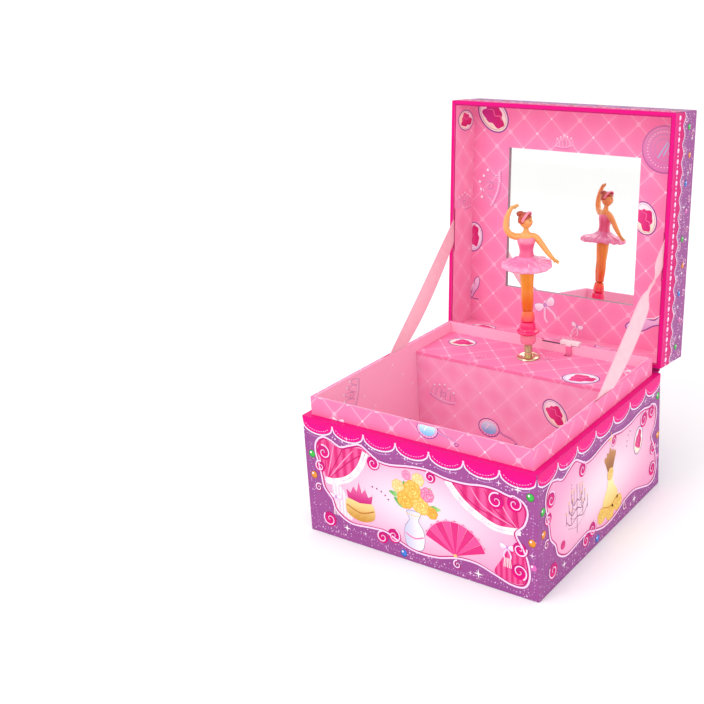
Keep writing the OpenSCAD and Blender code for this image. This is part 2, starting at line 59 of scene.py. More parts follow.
# places a point of the shut lid where it is with the lid open
M_OPEN = Matrix.Translation(HINGE) @ Matrix.Rotation(-OPEN, 4, "X") @ Matrix.Translation(-HINGE)


# ---------- camera ----------
def camera():
    """The photograph's view, as fitted to the box's corners."""
    az, el, roll = radians(34.97), radians(17.6), radians(-2.63)
    fwd = Vector((-sin(az) * cos(el), cos(az) * cos(el), -sin(el)))
    right = fwd.cross(Vector((0, 0, 1))).normalized()
    up = right.cross(fwd)
    r = cos(roll) * right + sin(roll) * up
    u = -sin(roll) * right + cos(roll) * up
    data = bpy.data.cameras.new("camera")
    cam = bpy.data.objects.new("camera", data)
    S.collection.objects.link(cam)
    m = Matrix((r, u, -fwd)).transposed().to_4x4()
    m.translation = Vector((323.41, -513.78, 330.97)) * MM
    cam.matrix_world = m
    data.sensor_width = 36
    data.lens = 58.28727
    data.shift_x, data.shift_y = -0.1108, -0.0952
    data.clip_start, data.clip_end = 0.01, 20
    S.camera = cam


camera()


# ---------- colours and node helpers ----------
def lin(rgb):
    """A display colour, 0 to 255, as the linear one that shaders take."""
    return [((c / 255 + 0.055) / 1.055) ** 2.4 if c > 10.3 else c / 255 / 12.92 for c in rgb]


class Nodes:
    def __init__(self, name):
        self.mat = bpy.data.materials.new(name)
        self.mat.use_nodes = True
        self.t = self.mat.node_tree
        self.b = self.t.nodes["Principled BSDF"]

    def new(self, kind, **props):
        n = self.t.nodes.new("ShaderNode" + kind)
        for k, v in props.items():
            setattr(n, k, v)
        return n

    def link(self, a, b):
        self.t.links.new(a, b)

    def put(self, socket, v):
        """Links an output to a socket, or sets the socket's value."""
        if hasattr(v, "is_output"):
            self.link(v, socket)
        elif isinstance(v, (list, tuple)) and len(v) == 3 and socket.type == "RGBA":
            socket.default_value = (*v, 1)
        else:
            socket.default_value = v

    def math(self, op, a, b=0.0):
        n = self.new("Math", operation=op)
        self.put(n.inputs[0], a)
        self.put(n.inputs[1], b)
        return n.outputs[0]

    def add(self, a, b):
        return self.math("ADD", a, b)

    def sub(self, a, b):
        return self.math("SUBTRACT", a, b)

    def mul(self, a, b):
        return self.math("MULTIPLY", a, b)

    def abs(self, a):
        return self.math("ABSOLUTE", a)

    def less(self, a, b):
        return self.math("LESS_THAN", a, b)

    def more(self, a, b):
        return self.math("GREATER_THAN", a, b)

    def within(self, pos, half):
        """1 where x and y are both closer to zero than half, in mm."""
        x, y, _ = self.split(pos)
        return self.mul(self.less(self.abs(x), half * MM), self.less(self.abs(y), half * MM))

    def mix(self, f, a, b):
        """From a to b as f goes from 0 to 1."""
        n = self.new("Mix", data_type="RGBA")
        self.put(n.inputs["Factor"], f)
        self.put(n.inputs[6], a)
        self.put(n.inputs[7], b)
        return n.outputs[2]

    def step(self, v, lo, hi):
        """0 below lo, 1 above hi, smooth between."""
        n = self.new("MapRange", interpolation_type="SMOOTHSTEP")
        self.put(n.inputs[0], v)
        n.inputs[1].default_value, n.inputs[2].default_value = min(lo, hi), max(lo, hi)
        n.inputs[3].default_value, n.inputs[4].default_value = (0, 1) if lo < hi else (1, 0)
        return n.outputs[0]

    def noise(self, coord, scale, detail=3.0, rough=0.5):
        n = self.new("TexNoise")
        self.link(coord, n.inputs["Vector"])
        n.inputs["Scale"].default_value = scale
        n.inputs["Detail"].default_value = detail
        n.inputs["Roughness"].default_value = rough
        return n.outputs[0]

    def bump(self, height, dist, strength=1.0):
        n = self.new("Bump")
        n.inputs["Strength"].default_value = strength
        n.inputs["Distance"].default_value = dist
        self.link(height, n.inputs["Height"])
        self.link(n.outputs[0], self.b.inputs["Normal"])

    def set(self, **kw):
        for k, v in kw.items():
            self.put(self.b.inputs[k.replace("_", " ")], v)

    def obj(self):
        return self.new("TexCoord").outputs["Object"]

    def split(self, v):
        n = self.new("SeparateXYZ")
        self.link(v, n.inputs[0])
        return n.outputs


def board_uv(n, lid):
    """Flat coordinates, in mm, on whichever face of a board this is. Also the face's normal."""
    tc = n.new("TexCoord")
    pos, nor = tc.outputs["Object"], tc.outputs["Normal"]
    if lid:
        out = []
        for v, centre in ((pos, HINGE * MM), (nor, Vector())):
            r = n.new("VectorRotate", rotation_type="AXIS_ANGLE")
            n.link(v, r.inputs["Vector"])
            r.inputs["Center"].default_value = centre
            r.inputs["Axis"].default_value = (1, 0, 0)
            r.inputs["Angle"].default_value = OPEN
            out.append(r.outputs[0])
        pos, nor = out
    x, y, z = n.split(pos)
    nx, _, nz = n.split(nor)
    ax = n.more(n.abs(nx), 0.7)
    az = n.more(n.abs(nz), 0.7)
    u = n.add(n.mul(x, n.sub(1, ax)), n.mul(y, ax))
    v = n.add(n.mul(z, n.sub(1, az)), n.mul(y, az))
    return n.mul(u, 1000), n.mul(v, 1000), nor, pos, z


def paper_finish(n, rough=0.42):
    """Fine fibre and a slight wave in the paper. Returns the wave."""
    c = n.obj()
    fibre = n.noise(c, 2600, 4, 0.7)
    wave = n.noise(c, 90, 2)
    n.bump(n.add(n.mul(fibre, 0.12), n.mul(wave, 0.6)), 0.00025, 0.5)
    n.set(Roughness=rough, Specular_IOR_Level=0.1)
    return wave


def quilt(name, lid=False, off=(0.0, 0.0), base=(252, 130, 178), cell=19.5, inner=None, edge=None, rim=None):
    """Lining paper: a lattice of fine lines with pearls where they cross.
    inner: paler tone inside a square of that half width, painted light on faces in shade; edge: colour of a
    card's cut edges;
    rim: colour of the edge that faces the lid's opening, painted shade along the gap there."""
    n = Nodes(name)
    u, v, nor, pos, z = board_uv(n, lid)
    u, v = n.add(u, off[0]), n.add(v, off[1])
    p = n.math("DIVIDE", n.add(u, v), cell)
    q = n.math("DIVIDE", n.sub(u, v), cell)
    k = cell / math.sqrt(2)

    def near(t):
        r = n.math("ROUND", t)
        return r, n.mul(n.abs(n.sub(t, r)), k)

    rp, dp = near(p)
    _, dq = near(q)
    line = n.math("MAXIMUM", n.step(dp, 0.42, 0.16), n.step(dq, 0.42, 0.16))
    d = n.math("SQRT", n.add(n.mul(dp, dp), n.mul(dq, dq)))
    odd = n.abs(n.math("MODULO", rp, 2.0))
    big = n.mul(n.step(d, 1.9, 1.1), odd)
    small = n.mul(n.step(d, 0.85, 0.5), n.sub(1, odd))
    wave = paper_finish(n)
    dark, pale = [c * 0.96 for c in base], [min(255, c * 1.03) for c in base]
    tone = n.mix(wave, lin(dark), lin(pale))
    # painted shade: each cell darker away from its lines, as shade on puffed cells
    puff = n.step(n.math("MINIMUM", dp, dq), 0, 6)
    tone = n.mix(n.mul(puff, 0.22), tone, lin((246, 108, 168)))
    # painted light: faces inside the square made paler than the rest of the paper
    if inner:
        tone = n.mix(n.within(pos, inner), tone, lin((255, 188, 214)))
    col = n.mix(n.mul(line, 0.6), tone, lin((255, 196, 220)))
    col = n.mix(n.mul(big, 0.85), col, lin((255, 186, 214)))
    col = n.mix(small, col, lin((255, 226, 240)))
    nz = n.split(nor)[2]
    if edge:
        col = n.mix(n.less(n.abs(nz), 0.6), col, lin(edge))
    # painted shade: the liner's edge at the lid's opening takes the rim colour, for the shadowed gap between
    # liner and rim
    if rim:
        low = n.mul(n.less(nz, -0.6), n.less(z, (BASE_H + 3) * MM))
        col = n.mix(low, col, lin(rim))
    n.set(Base_Color=col)
    return n.mat


def ground(name, lid=False, rim=(226, 14, 126)):
    """Purple print with tiny scattered dots, deep pink where the board's edge shows."""
    n = Nodes(name)
    u, v, nor, pos, z = board_uv(n, lid)
    comb = n.new("CombineXYZ")
    n.link(u, comb.inputs[0])
    n.link(v, comb.inputs[1])
    vor = n.new("TexVoronoi", voronoi_dimensions="2D")
    n.link(comb.outputs[0], vor.inputs["Vector"])
    vor.inputs["Scale"].default_value = 0.42
    size = n.mul(n.math("POWER", n.split(vor.outputs["Color"])[0], 2.0), 0.17)
    dot = n.less(vor.outputs["Distance"], size)
    wave = paper_finish(n, 0.38)
    tone = n.mix(wave, lin((144, 70, 140)), lin((166, 90, 154)))
    big = n.noise(comb.outputs[0], 0.05, 2)
    tone = n.mix(n.mul(big, 0.5), tone, lin((164, 74, 146)))
    col = n.mix(n.mul(dot, 0.75), tone, lin((238, 205, 238)))
    nz = n.split(nor)[2]
    if lid:
        inside = n.mul(n.within(pos, HW - 1.6), n.less(z, (BASE_H + LID_H - 1.4) * MM))
        col = n.mix(inside, col, lin((250, 122, 172)))
        edge = n.mul(n.less(nz, -0.6), n.less(z, (BASE_H + 3) * MM))
    else:
        edge = n.mul(n.more(nz, 0.6), n.more(z, (BASE_H - 3) * MM))
    col = n.mix(edge, col, lin(rim))
    n.set(Base_Color=col)
    return n.mat


INKS = {}


def ink(rgb, to=None, kind="v"):
    """A printed colour. With a second one it shades across the shape it fills:
    v up, u along, r outwards from the middle, f in folds."""
    key = (tuple(rgb), tuple(to) if to else None, kind)
    if key in INKS:
        return INKS[key]
    n = Nodes("ink_%02x%02x%02x" % tuple(rgb) + ("_%02x%02x%02x%s" % (*to, kind) if to else ""))
    wave = paper_finish(n, 0.4)
    col = lin(rgb)
    if to:
        x, y, _ = n.split(n.new("UVMap").outputs[0])
        if kind == "v":
            f = y
        elif kind == "u":
            f = x
        elif kind == "r":
            dx, dy = n.sub(x, 0.5), n.sub(y, 0.5)
            f = n.mul(n.math("SQRT", n.add(n.mul(dx, dx),
                                                         n.mul(dy, dy))), 1.7)
        else:
            f = n.add(n.mul(n.math("SINE", n.mul(x, 38.0)), 0.5), 0.5)
        col = n.mix(n.step(f, 0, 1), col, lin(to))
    col = n.mix(n.mul(wave, 0.12), col, lin(tuple(c * 0.86 for c in rgb)))
    n.set(Base_Color=col)
    INKS[key] = n.mat
    return n.mat


# ---------- drawing flat print on a face ----------
def curve(pts, n=7, closed=False):
    """A smooth line through points of any number of values each."""
    out, m = [], len(pts)
    for i in range(m if closed else m - 1):
        p = [pts[(i + k) % m] if closed else pts[min(max(i + k, 0), m - 1)] for k in (-1, 0, 1, 2)]
        for j in range(n):
            t = j / n
            out.append(tuple(0.5 * (2 * p[1][c] + (p[2][c] - p[0][c]) * t
                                    + (2 * p[0][c] - 5 * p[1][c] + 4 * p[2][c] - p[3][c]) * t * t
                                    + (3 * p[1][c] - p[0][c] - 3 * p[2][c] + p[3][c]) * t ** 3)
                             for c in range(len(p[1]))))
    if not closed:
        out.append(tuple(pts[-1]))
    return out


def shift(x, y, pts):
    """The points moved by (x, y)."""
    return [(x + a, y + b) for a, b in pts]


def spiral(c, r0, a0, turns, r1=0.25, n=30, sign=1):
    pts = []
    for i in range(n + 1):
        r, t = r0 + (r1 - r0) * i / n, a0 + sign * 2 * pi * turns * i / n
        pts.append((r * cos(t), r * sin(t)))
    return shift(*c, pts)


def ring(c, rx, ry=None, n=28, a=0.0):
    """A circle, or an oval turned by a."""
    ry = rx if ry is None else ry
    return [(c[0] + rx * cos(t) * cos(a) - ry * sin(t) * sin(a),
             c[1] + rx * cos(t) * sin(a) + ry * sin(t) * cos(a))
            for t in (2 * pi * i / n for i in range(n))]


class Print:
    """Ink on one flat face. Points are (u, v) in mm on the face; higher levels lie on top."""

    def __init__(self, name, org, U, V, body, M=None, lift=0.05):
        self.name, self.body = name, body
        self.org, self.U, self.V = Vector(org), Vector(U), Vector(V)
        self.N = self.U.cross(self.V).normalized()
        self.M, self.lift = M, lift
        self.verts, self.faces, self.mats, self.slots, self.uvs = [], [], [], [], []
        self.clip, self.count = None, 0
        self.home()

    def at(self, x, y, s=1.0, a=0.0, flip=1):
        """What is drawn next is scaled by s, turned by a and moved to (x, y)."""
        c, d = cos(a), sin(a)
        self.tf = lambda p: (x + s * (flip * p[0] * c - p[1] * d), y + s * (flip * p[0] * d + p[1] * c))
        self.s = s

    def home(self):
        self.tf, self.s = lambda p: p, 1.0

    def _add(self, pts, tris, mat, lev, uv):
        """Each call lies a hair above the one before, so that no two of them share a plane."""
        if self.clip:
            a, b, c, d = self.clip
            pts = [(min(max(p[0], a), c), min(max(p[1], b), d)) for p in pts]
        i0 = len(self.verts)
        self.count = (self.count + 1) % 12
        off = self.lift + 0.02 * lev + 0.0016 * self.count
        for p in pts:
            self.verts.append(self.org + self.U * p[0] + self.V * p[1] + self.N * off)
        if mat not in self.mats:
            self.mats.append(mat)
        k = self.mats.index(mat)
        for t in tris:
            if abs((pts[t[1]][0] - pts[t[0]][0]) * (pts[t[2]][1] - pts[t[0]][1])
                   - (pts[t[2]][0] - pts[t[0]][0]) * (pts[t[1]][1] - pts[t[0]][1])) < 1e-6:
                continue
            self.faces.append([i0 + j for j in t])
            self.slots.append(k)
            self.uvs.append([uv[j] for j in t])

    def fill(self, pts, mat, lev=1):
        """A filled outline. Its UV runs 0 to 1 each way, for shaded inks."""
        pts = [self.tf(p) for p in pts]
        xs, ys = [p[0] for p in pts], [p[1] for p in pts]
        w, h = max(xs) - min(xs) or 1, max(ys) - min(ys) or 1
        uv = [((p[0] - min(xs)) / w, (p[1] - min(ys)) / h) for p in pts]
        tris = tessellate_polygon([[Vector((p[0], p[1], 0)) for p in pts]])
        self._add(pts, tris, mat, lev, uv)

    def line(self, pts, w, mat, lev=2, closed=False, taper=False):
        """A stroke of width w; taper 1 thins towards its end, 2 towards both."""
        pts = [self.tf(p) for p in pts]
        w *= self.s
        m = len(pts)
        a, b = [], []
        for i in range(m):
            p = Vector(pts[(i - 1) % m] if closed or i else pts[i])
            q = Vector(pts[(i + 1) % m] if closed or i < m - 1 else pts[i])
            d = q - p
            if d.length < 1e-9:
                continue
            d = d.normalized()
            f = 1.0
            if taper:
                t = i / (m - 1)
                f = 0.25 + 0.75 * min(1, 4 * t, 4 * (1 - t)) if taper == 2 else 1 - 0.75 * t
            o = Vector((-d.y, d.x)) * w * f / 2
            c = Vector(pts[i])
            a.append(tuple(c + o))
            b.append(tuple(c - o))
        k = len(a)
        vs = a + b
        uv = [(i / k, 1) for i in range(k)] + [(i / k, 0) for i in range(k)]
        tris = []
        for i in range(k if closed else k - 1):
            j = (i + 1) % k
            tris += [(i, k + i, k + j), (i, k + j, j)]
        self._add(vs, tris, mat, lev, uv)

    def dot(self, c, r, mat, lev=2, n=12, ry=None, a=0.0):
        self.fill(ring(c, r, ry, n, a), mat, lev)

    def beads(self, pts, r, gap, mat, lev=3, alt=None):
        """Round dots spaced along a line."""
        run, k = 0.0, 0
        self.dot(pts[0], r, mat, lev, 9)
        for a, b in zip(pts, pts[1:]):
            d = math.dist(a, b)
            while run + d >= gap:
                t = (gap - run) / d
                a = (a[0] + (b[0] - a[0]) * t, a[1] + (b[1] - a[1]) * t)
                d = math.dist(a, b)
                run = 0.0
                k += 1
                self.dot(a, r if not alt or k % 2 == 0 else alt, mat, lev, 9)
            run += d

    def dashes(self, pts, w, on, off, mat, lev=3):
        """A line in stitches, on long with gaps of off."""
        seg, run, live = [pts[0]], 0.0, True
        for a, b in zip(pts, pts[1:]):
            d = math.dist(a, b)
            while d > 0:
                want = (on if live else off) - run
                if d < want:
                    run += d
                    seg.append(b)
                    break
                t = want / d
                a = (a[0] + (b[0] - a[0]) * t, a[1] + (b[1] - a[1]) * t)
                seg.append(a)
                if live and len(seg) > 1:
                    self.line(seg, w, mat, lev)
                seg, run, live = [a], 0.0, not live
                d = math.dist(a, b)

    def build(self):
        me = bpy.data.meshes.new(self.name)
        M = Matrix.Scale(MM, 4) @ (self.M or Matrix())
        me.from_pydata([M @ v for v in self.verts], [], self.faces)
        for m in self.mats:
            me.materials.append(m)
        me.polygons.foreach_set("material_index", self.slots)
        layer = me.uv_layers.new(name="uv")
        flat = [c for f in self.uvs for p in f for c in p]
        layer.data.foreach_set("uv", flat)
        bm = bmesh.new()
        bm.from_mesh(me)
        N = (M.to_3x3() @ self.N).normalized()
        bm.normal_update()
        for f in bm.faces:
            if f.normal.dot(N) < 0:
                f.normal_flip()
        bm.to_mesh(me)
        bm.free()
        o = bpy.data.objects.new(self.name, me)
        S.collection.objects.link(o)
        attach(o, self.body)


# ---------- the printed colours ----------
HOT, HOTD = (255, 0, 140), (230, 0, 124)
PALE, WHITE = (248, 212, 242), (255, 246, 252)
MAG, PINK, CURT, CURTD = (196, 26, 120), (255, 205, 226), (244, 92, 156), (216, 40, 118)
GOLD, GOLDD, CREAM = (246, 205, 118), (206, 148, 62), (255, 243, 218)
ORCHID, BLUSH, DUSK, PLUM = (226, 110, 190), (255, 206, 228), (186, 122, 176), (120, 60, 120)
GREEN, ORANGE, BLUE, LILAC, VIOLET = (70, 190, 80), (246, 146, 60), (74, 128,
                                                                     220), (206, 150, 208), (150, 84, 160)
SKY, ROSE, BERRY = (170, 214, 244), (255, 150, 196), (214, 30, 120)


# ---------- motifs, all generic ----------
def gem(P, x, y, r, rgb):
    """A round stone with a darker rim and a glint."""
    P.at(x, y)
    P.dot((0, 0), r, ink(tuple(int(c * 0.75) for c in rgb)), 3, 14)
    P.dot((0.1 * r, 0.12 * r), r * 0.8, ink(rgb), 4, 12)
    P.dot((-0.3 * r, 0.35 * r), r * 0.28, ink(WHITE), 5, 8)
    P.home()


def spark(P, x, y, r, rgb=PALE, lev=3):
    """A four-pointed star."""
    pts = []
    for i in range(8):
        d = r if i % 2 == 0 else r * 0.22
        pts.append((d * cos(i * pi / 4), d * sin(i * pi / 4)))
    P.fill(shift(x, y, pts), ink(rgb), lev)


def heart(c, r):
    out = []
    for i in range(26):
        t = 2 * pi * i / 26
        out.append((sin(t) ** 3 * r, (13 * cos(t) - 5 * cos(2 * t) - 2 * cos(3 * t) - cos(4 * t)) / 16 * r))
    return shift(*c, out)


def cameo(P, x, y, s, a=0.0, shell=CREAM, heartc=(232, 72, 142)):
    """An oval medallion with a plain blot in it."""
    P.at(x, y, s, a)
    P.dot((0, 0), 10, ink(VIOLET), 2, 36, 7.4)
    P.dot((0, 0), 9.3, ink(shell, WHITE, "v"), 3, 36, 6.7)
    blob = []
    for k in range(48):
        t = 2 * pi * k / 48
        w = 1 + 0.16 * cos(3 * t + 0.6) + 0.08 * sin(7 * t)
        blob.append((w * 6.6 * cos(t) + 0.5, w * 4.5 * sin(t)))
    P.fill(blob, ink(heartc, (214, 40, 120), "u"), 4)
    P.line(curve([(-4.5, -1), (-2, 1.6), (1, 0.4), (3, 2.2), (5.4, 1.2)], 5), 0.4, ink((250, 130, 180)), 5,
           taper=2)
    P.line(ring((0, 0), 8.5, 6.0, 40), 0.28, ink((196, 150, 190)), 4, closed=True)
    P.home()


def hand_mirror(P, x, y, s, a=0.0, flip=1):
    P.at(x, y, s, a, flip)
    P.dot((0, 0), 7.6, ink(VIOLET), 2, 32, 6.2)
    P.dot((0, 0), 7.0, ink((232, 130, 186), PINK, "v"), 3, 32, 5.6)
    P.dot((0, 0), 5.6, ink((130, 190, 236), (226, 244, 255), "v"), 4, 30, 4.3)
    P.line([(-2.5, -1), (0.5, 2.4)], 0.6, ink(WHITE), 5)
    for k in range(18):
        t = 2 * pi * k / 18
        P.dot((6.4 * cos(t), 5.0 * sin(t)), 0.32, ink(WHITE), 4, 7)
    h = curve([(7.2, -0.6), (10, -2.6), (14, -3.6), (18, -5.2), (20.2, -7.6)])
    P.line(h, 1.5, ink(VIOLET), 2, taper=1)
    P.line(h, 0.8, ink((232, 160, 204)), 3, taper=1)
    P.line(spiral((18.8, -7.4), 1.8, 0.2, 1.0, sign=-1), 0.5, ink(VIOLET), 3)
    P.home()


def tiara(P, x, y, s, a=0.0, rgb=(214, 150, 196)):
    P.at(x, y, s, a)
    for k in range(5):
        c = (-8 + 4 * k, abs(k - 2) * -1.2)
        h = 8 - abs(k - 2) * 1.7
        arc = curve([(c[0] - 2, -2), (c[0] - 1.4, h * 0.55), (c[0], h), (c[0] + 1.4, h * 0.55),
                     (c[0] + 2, -2)], 5)
        P.beads(arc, 0.36, 1.15, ink(rgb), 3)
        P.dot((c[0], h + 0.9), 0.75, ink(WHITE), 4, 9)
    P.beads(curve([(-10.5, -1.5), (-5, -3), (0, -3.5), (5, -3), (10.5, -1.5)]), 0.5, 1.3, ink(PALE), 3)
    P.beads(curve([(-10.5, -3), (-5, -4.5), (0, -5), (5, -4.5), (10.5, -3)]), 0.4, 1.2, ink(DUSK), 3)
    P.line(heart((0, 1.2), 2.0), 0.3, ink(DUSK), 3, closed=True)
    P.home()


def slipper(P, x, y, s, a=0.0, flip=1):
    P.at(x, y, s, a, flip)
    body = curve([(-9, 5), (-7.4, 0.5), (-3, -1.4), (2, -4.4), (8, -5.2), (10.6, -3.4), (8.6, -1.0),
                  (4.4, 0.4),
                  (0.6, 1.6), (-4, 1.8), (-6.6, 4.6)], 6, True)
    P.fill(body, ink((226, 170, 218), (248, 214, 240), "v"), 2)
    P.line(body, 0.55, ink(VIOLET), 3, closed=True)
    P.fill([(-9, 4.6), (-8.2, 0.2), (-8.0, -5.4), (-8.9, -5.4)], ink(VIOLET), 3)
    P.line(curve([(-6.6, 4.4), (-3.6, 2.6), (1, 1.6), (5, 0.2)]), 0.5, ink(WHITE), 4)
    gem(P, *P.tf((4.6, 0.0)), 1.1 * s, (240, 120, 190))


def puff(P, x, y, s, a=0.0):
    P.at(x, y, s, a)
    P.dot((0, 0), 11, ink((184, 104, 168), (208, 130, 186), "v"), 2, 40)
    P.dot((0, 0), 10.3, ink((224, 122, 178), (240, 158, 200), "v"), 3, 40)
    for k in range(3):
        P.line(ring((0, 0), 9.2 - 2.2 * k, None, 36), 0.3, ink(LILAC), 4, closed=True)
    P.beads(ring((0, 0), 8.2, None, 40), 0.32, 1.5, ink(PALE), 4)
    for k in range(3):
        P.line([(-3 + 2.6 * k, -4 + k), (1.5 + 1.6 * k, 3.6 + 0.6 * k)], 0.5, ink(SKY), 5)
    P.home()


def bow(P, x, y, s, a=0.0, rgb=PALE, edge=LILAC):
    P.at(x, y, s, a)
    for f in (-1, 1):
        loop = curve([(0, 0), (f * 3, 2.4), (f * 6.4, 2.8), (f * 7, 0), (f * 5, -2.2), (f * 2, -1.4)], 6,
                     True)
        P.fill(loop, ink(rgb, WHITE, "v"), 5)
        P.line(loop, 0.35, ink(edge), 6, closed=True)
        tail = curve([(0, 0), (f * 1.6, -3), (f * 3.4, -7), (f * 3.0, -10)])
        P.line(tail, 1.5, ink(rgb), 5)
        P.line(shift(0.7, 0, tail), 0.25, ink(edge), 6)
    P.dot((0, 0), 1.3, ink(edge), 7, 12)
    P.home()


def rose(P, x, y, r, rgb, dark, lev=6):
    """Two rounds of petals and a curl."""
    P.at(x, y)
    for k in range(7):
        t = 2 * pi * k / 7
        P.dot((0.52 * r * cos(t), 0.52 * r * sin(t)), 0.55 * r, ink(rgb, dark, "r"), lev, 18)
    for k in range(5):
        t = 2 * pi * k / 5 + 0.5
        P.dot((0.28 * r * cos(t), 0.28 * r * sin(t)), 0.4 * r,
              ink(tuple(min(255, c + 14) for c in rgb), dark, "r"), lev + 1, 16)
    P.line(spiral((0, 0), 0.5 * r, 0.3, 1.6), 0.1 * r, ink(dark), lev + 2)
    P.home()


def leaf(P, x, y, l, a, rgb=(96, 176, 92)):
    P.at(x, y, 1, a)
    P.fill(curve([(0, 0), (l * 0.4, l * 0.22), (l, 0), (l * 0.4, -l * 0.22)], 5, True),
           ink(rgb, (170, 220, 140), "u"), 5)
    P.home()


def scroll(P, x, y, r, a0, sign, lev=5, w=0.9):
    """A curl with its shadow."""
    s = spiral((x, y), r, a0, 1.35, 0.3, 34, sign)
    P.line(shift(0.35, -0.35, s), w * 1.25, ink(MAG), lev, taper=1)
    P.line(s, w, ink(PALE), lev + 1, taper=1)


def scallops(P, W, H, n=7, depth=8.6):
    """The hanging pelmet along the top edge."""
    w = W / n

    def narrower(f, up, pts):
        return [(x0 + w / 2 + (p[0] - x0 - w / 2) * f, p[1] + up) for p in pts]

    for k in range(n):
        x0 = k * w
        arc = []
        for t in range(17):
            drop = math.sqrt(max(0, 1 - (2 * t / 16 - 1) ** 2)) ** 0.9
            arc.append((x0 + w * t / 16, H - 1.6 - (depth - 1.6) * drop))
        P.fill([(x0, H)] + arc + [(x0 + w, H)], ink(HOT, HOTD, "v"), 2)
        big = narrower(1.03, -0.75, arc)
        P.line(big, 0.8, ink(PALE), 4)
        P.beads(big[1:-1], 0.36, 1.5, ink(WHITE), 5)
        P.line(shift(0, -2.5, arc[3:-3]), 0.35, ink(LILAC), 3)
        P.dashes(narrower(0.9, 1.2, arc[1:-1]), 0.32, 0.9, 0.75, ink((255, 190, 224)), 4)


FRAME = [(9, 57.5), (14, 61.5), (20, 60.5), (26, 58), (33, 60.5), (40, 62.5), (46, 59.5), (52, 56),
         (60, 55.5),
         (72, 57.5), (84, 58.5), (96, 56.5), (108, 56.5), (118, 58), (126, 58), (133, 56.5), (141, 55.5),
         (144.5, 50),
         (142.5, 42), (137.5, 36), (141, 29), (144, 22), (145, 13), (142, 6.5), (134, 5.5), (124, 8.5),
         (113, 11.5),
         (101, 11), (88, 7.5), (74, 7), (62, 10.5), (54, 13.5), (44, 13), (30, 12), (20.5, 17), (17.5, 24),
         (12.5, 30),
         (11, 38), (9.5, 45), (8, 51)]


def curtains(P, f):
    """Curtains with a frilled hem gathered to each side, tassels, and a low drape."""
    for side, pts in ((0, [(10, 56), (15, 60.3), (24, 57.6), (33, 59.6), (44, 59.5), (40, 50), (31, 41),
                           (20, 36.5), (14.5, 36)]),
                      (1, [(140, 38.5), (143, 50), (139, 54.8), (127, 57), (112, 56.6), (98, 55), (104, 48),
                           (113, 42), (126, 37)])):
        P.fill(curve([f(p) for p in pts], 5, True), ink(CURT, CURTD, "f"), 2)
        for k in range(5):
            t = k / 4
            if side == 0:
                fold = [(15 + 27 * t, 59.5 - 0.5 * k), (14.5 + 17 * t, 48 + 2 * t), (14.8 + 3 * t, 37.5)]
            else:
                fold = [(136 - 34 * t, 56), (138 - 26 * t, 47 - t), (139 - 3 * t, 39)]
            P.line(curve([f(p) for p in fold]), 0.7, ink(ROSE if k % 2 else (200, 24, 104)), 3, taper=2)
    for hem in ([(14, 35), (21, 35.5), (31, 40), (39, 48.5), (43.5, 58.5)],
                [(140, 37.5), (126, 36), (113, 41), (104, 47), (96.5, 55.5)]):
        h = curve([f(p) for p in hem], 8)
        P.line(h, 4.0, ink((255, 250, 246), (240, 222, 232), "f"), 4)
        P.line(h, 0.35, ink((206, 180, 206)), 5)
        P.beads(h, 0.5, 1.7, ink(WHITE), 5)
    for x, y in ((20.5, 26), (132, 26.5)):
        bx, by = f((x, y))
        bow(P, bx, by, 0.62)
        for k in range(5):
            P.line([(bx - 1.6 + 0.8 * k, by - 6), (bx - 2.2 + 1.1 * k, by - 11.5)], 0.5, ink((250, 226, 232)),
                   5)
    low = [(143, 21), (143.5, 12), (140, 7.5), (132, 7), (124, 10), (128, 18), (133, 26), (138, 30)]
    P.fill(curve([f(p) for p in low], 5, True), ink(CURT, CURTD, "f"), 2)
    net = [(18.5, 33), (25, 33), (30, 24), (31, 14), (22, 18), (19, 25)]
    P.fill(curve([f(p) for p in net], 5, True), ink((255, 236, 242), (246, 204, 222), "f"), 2)


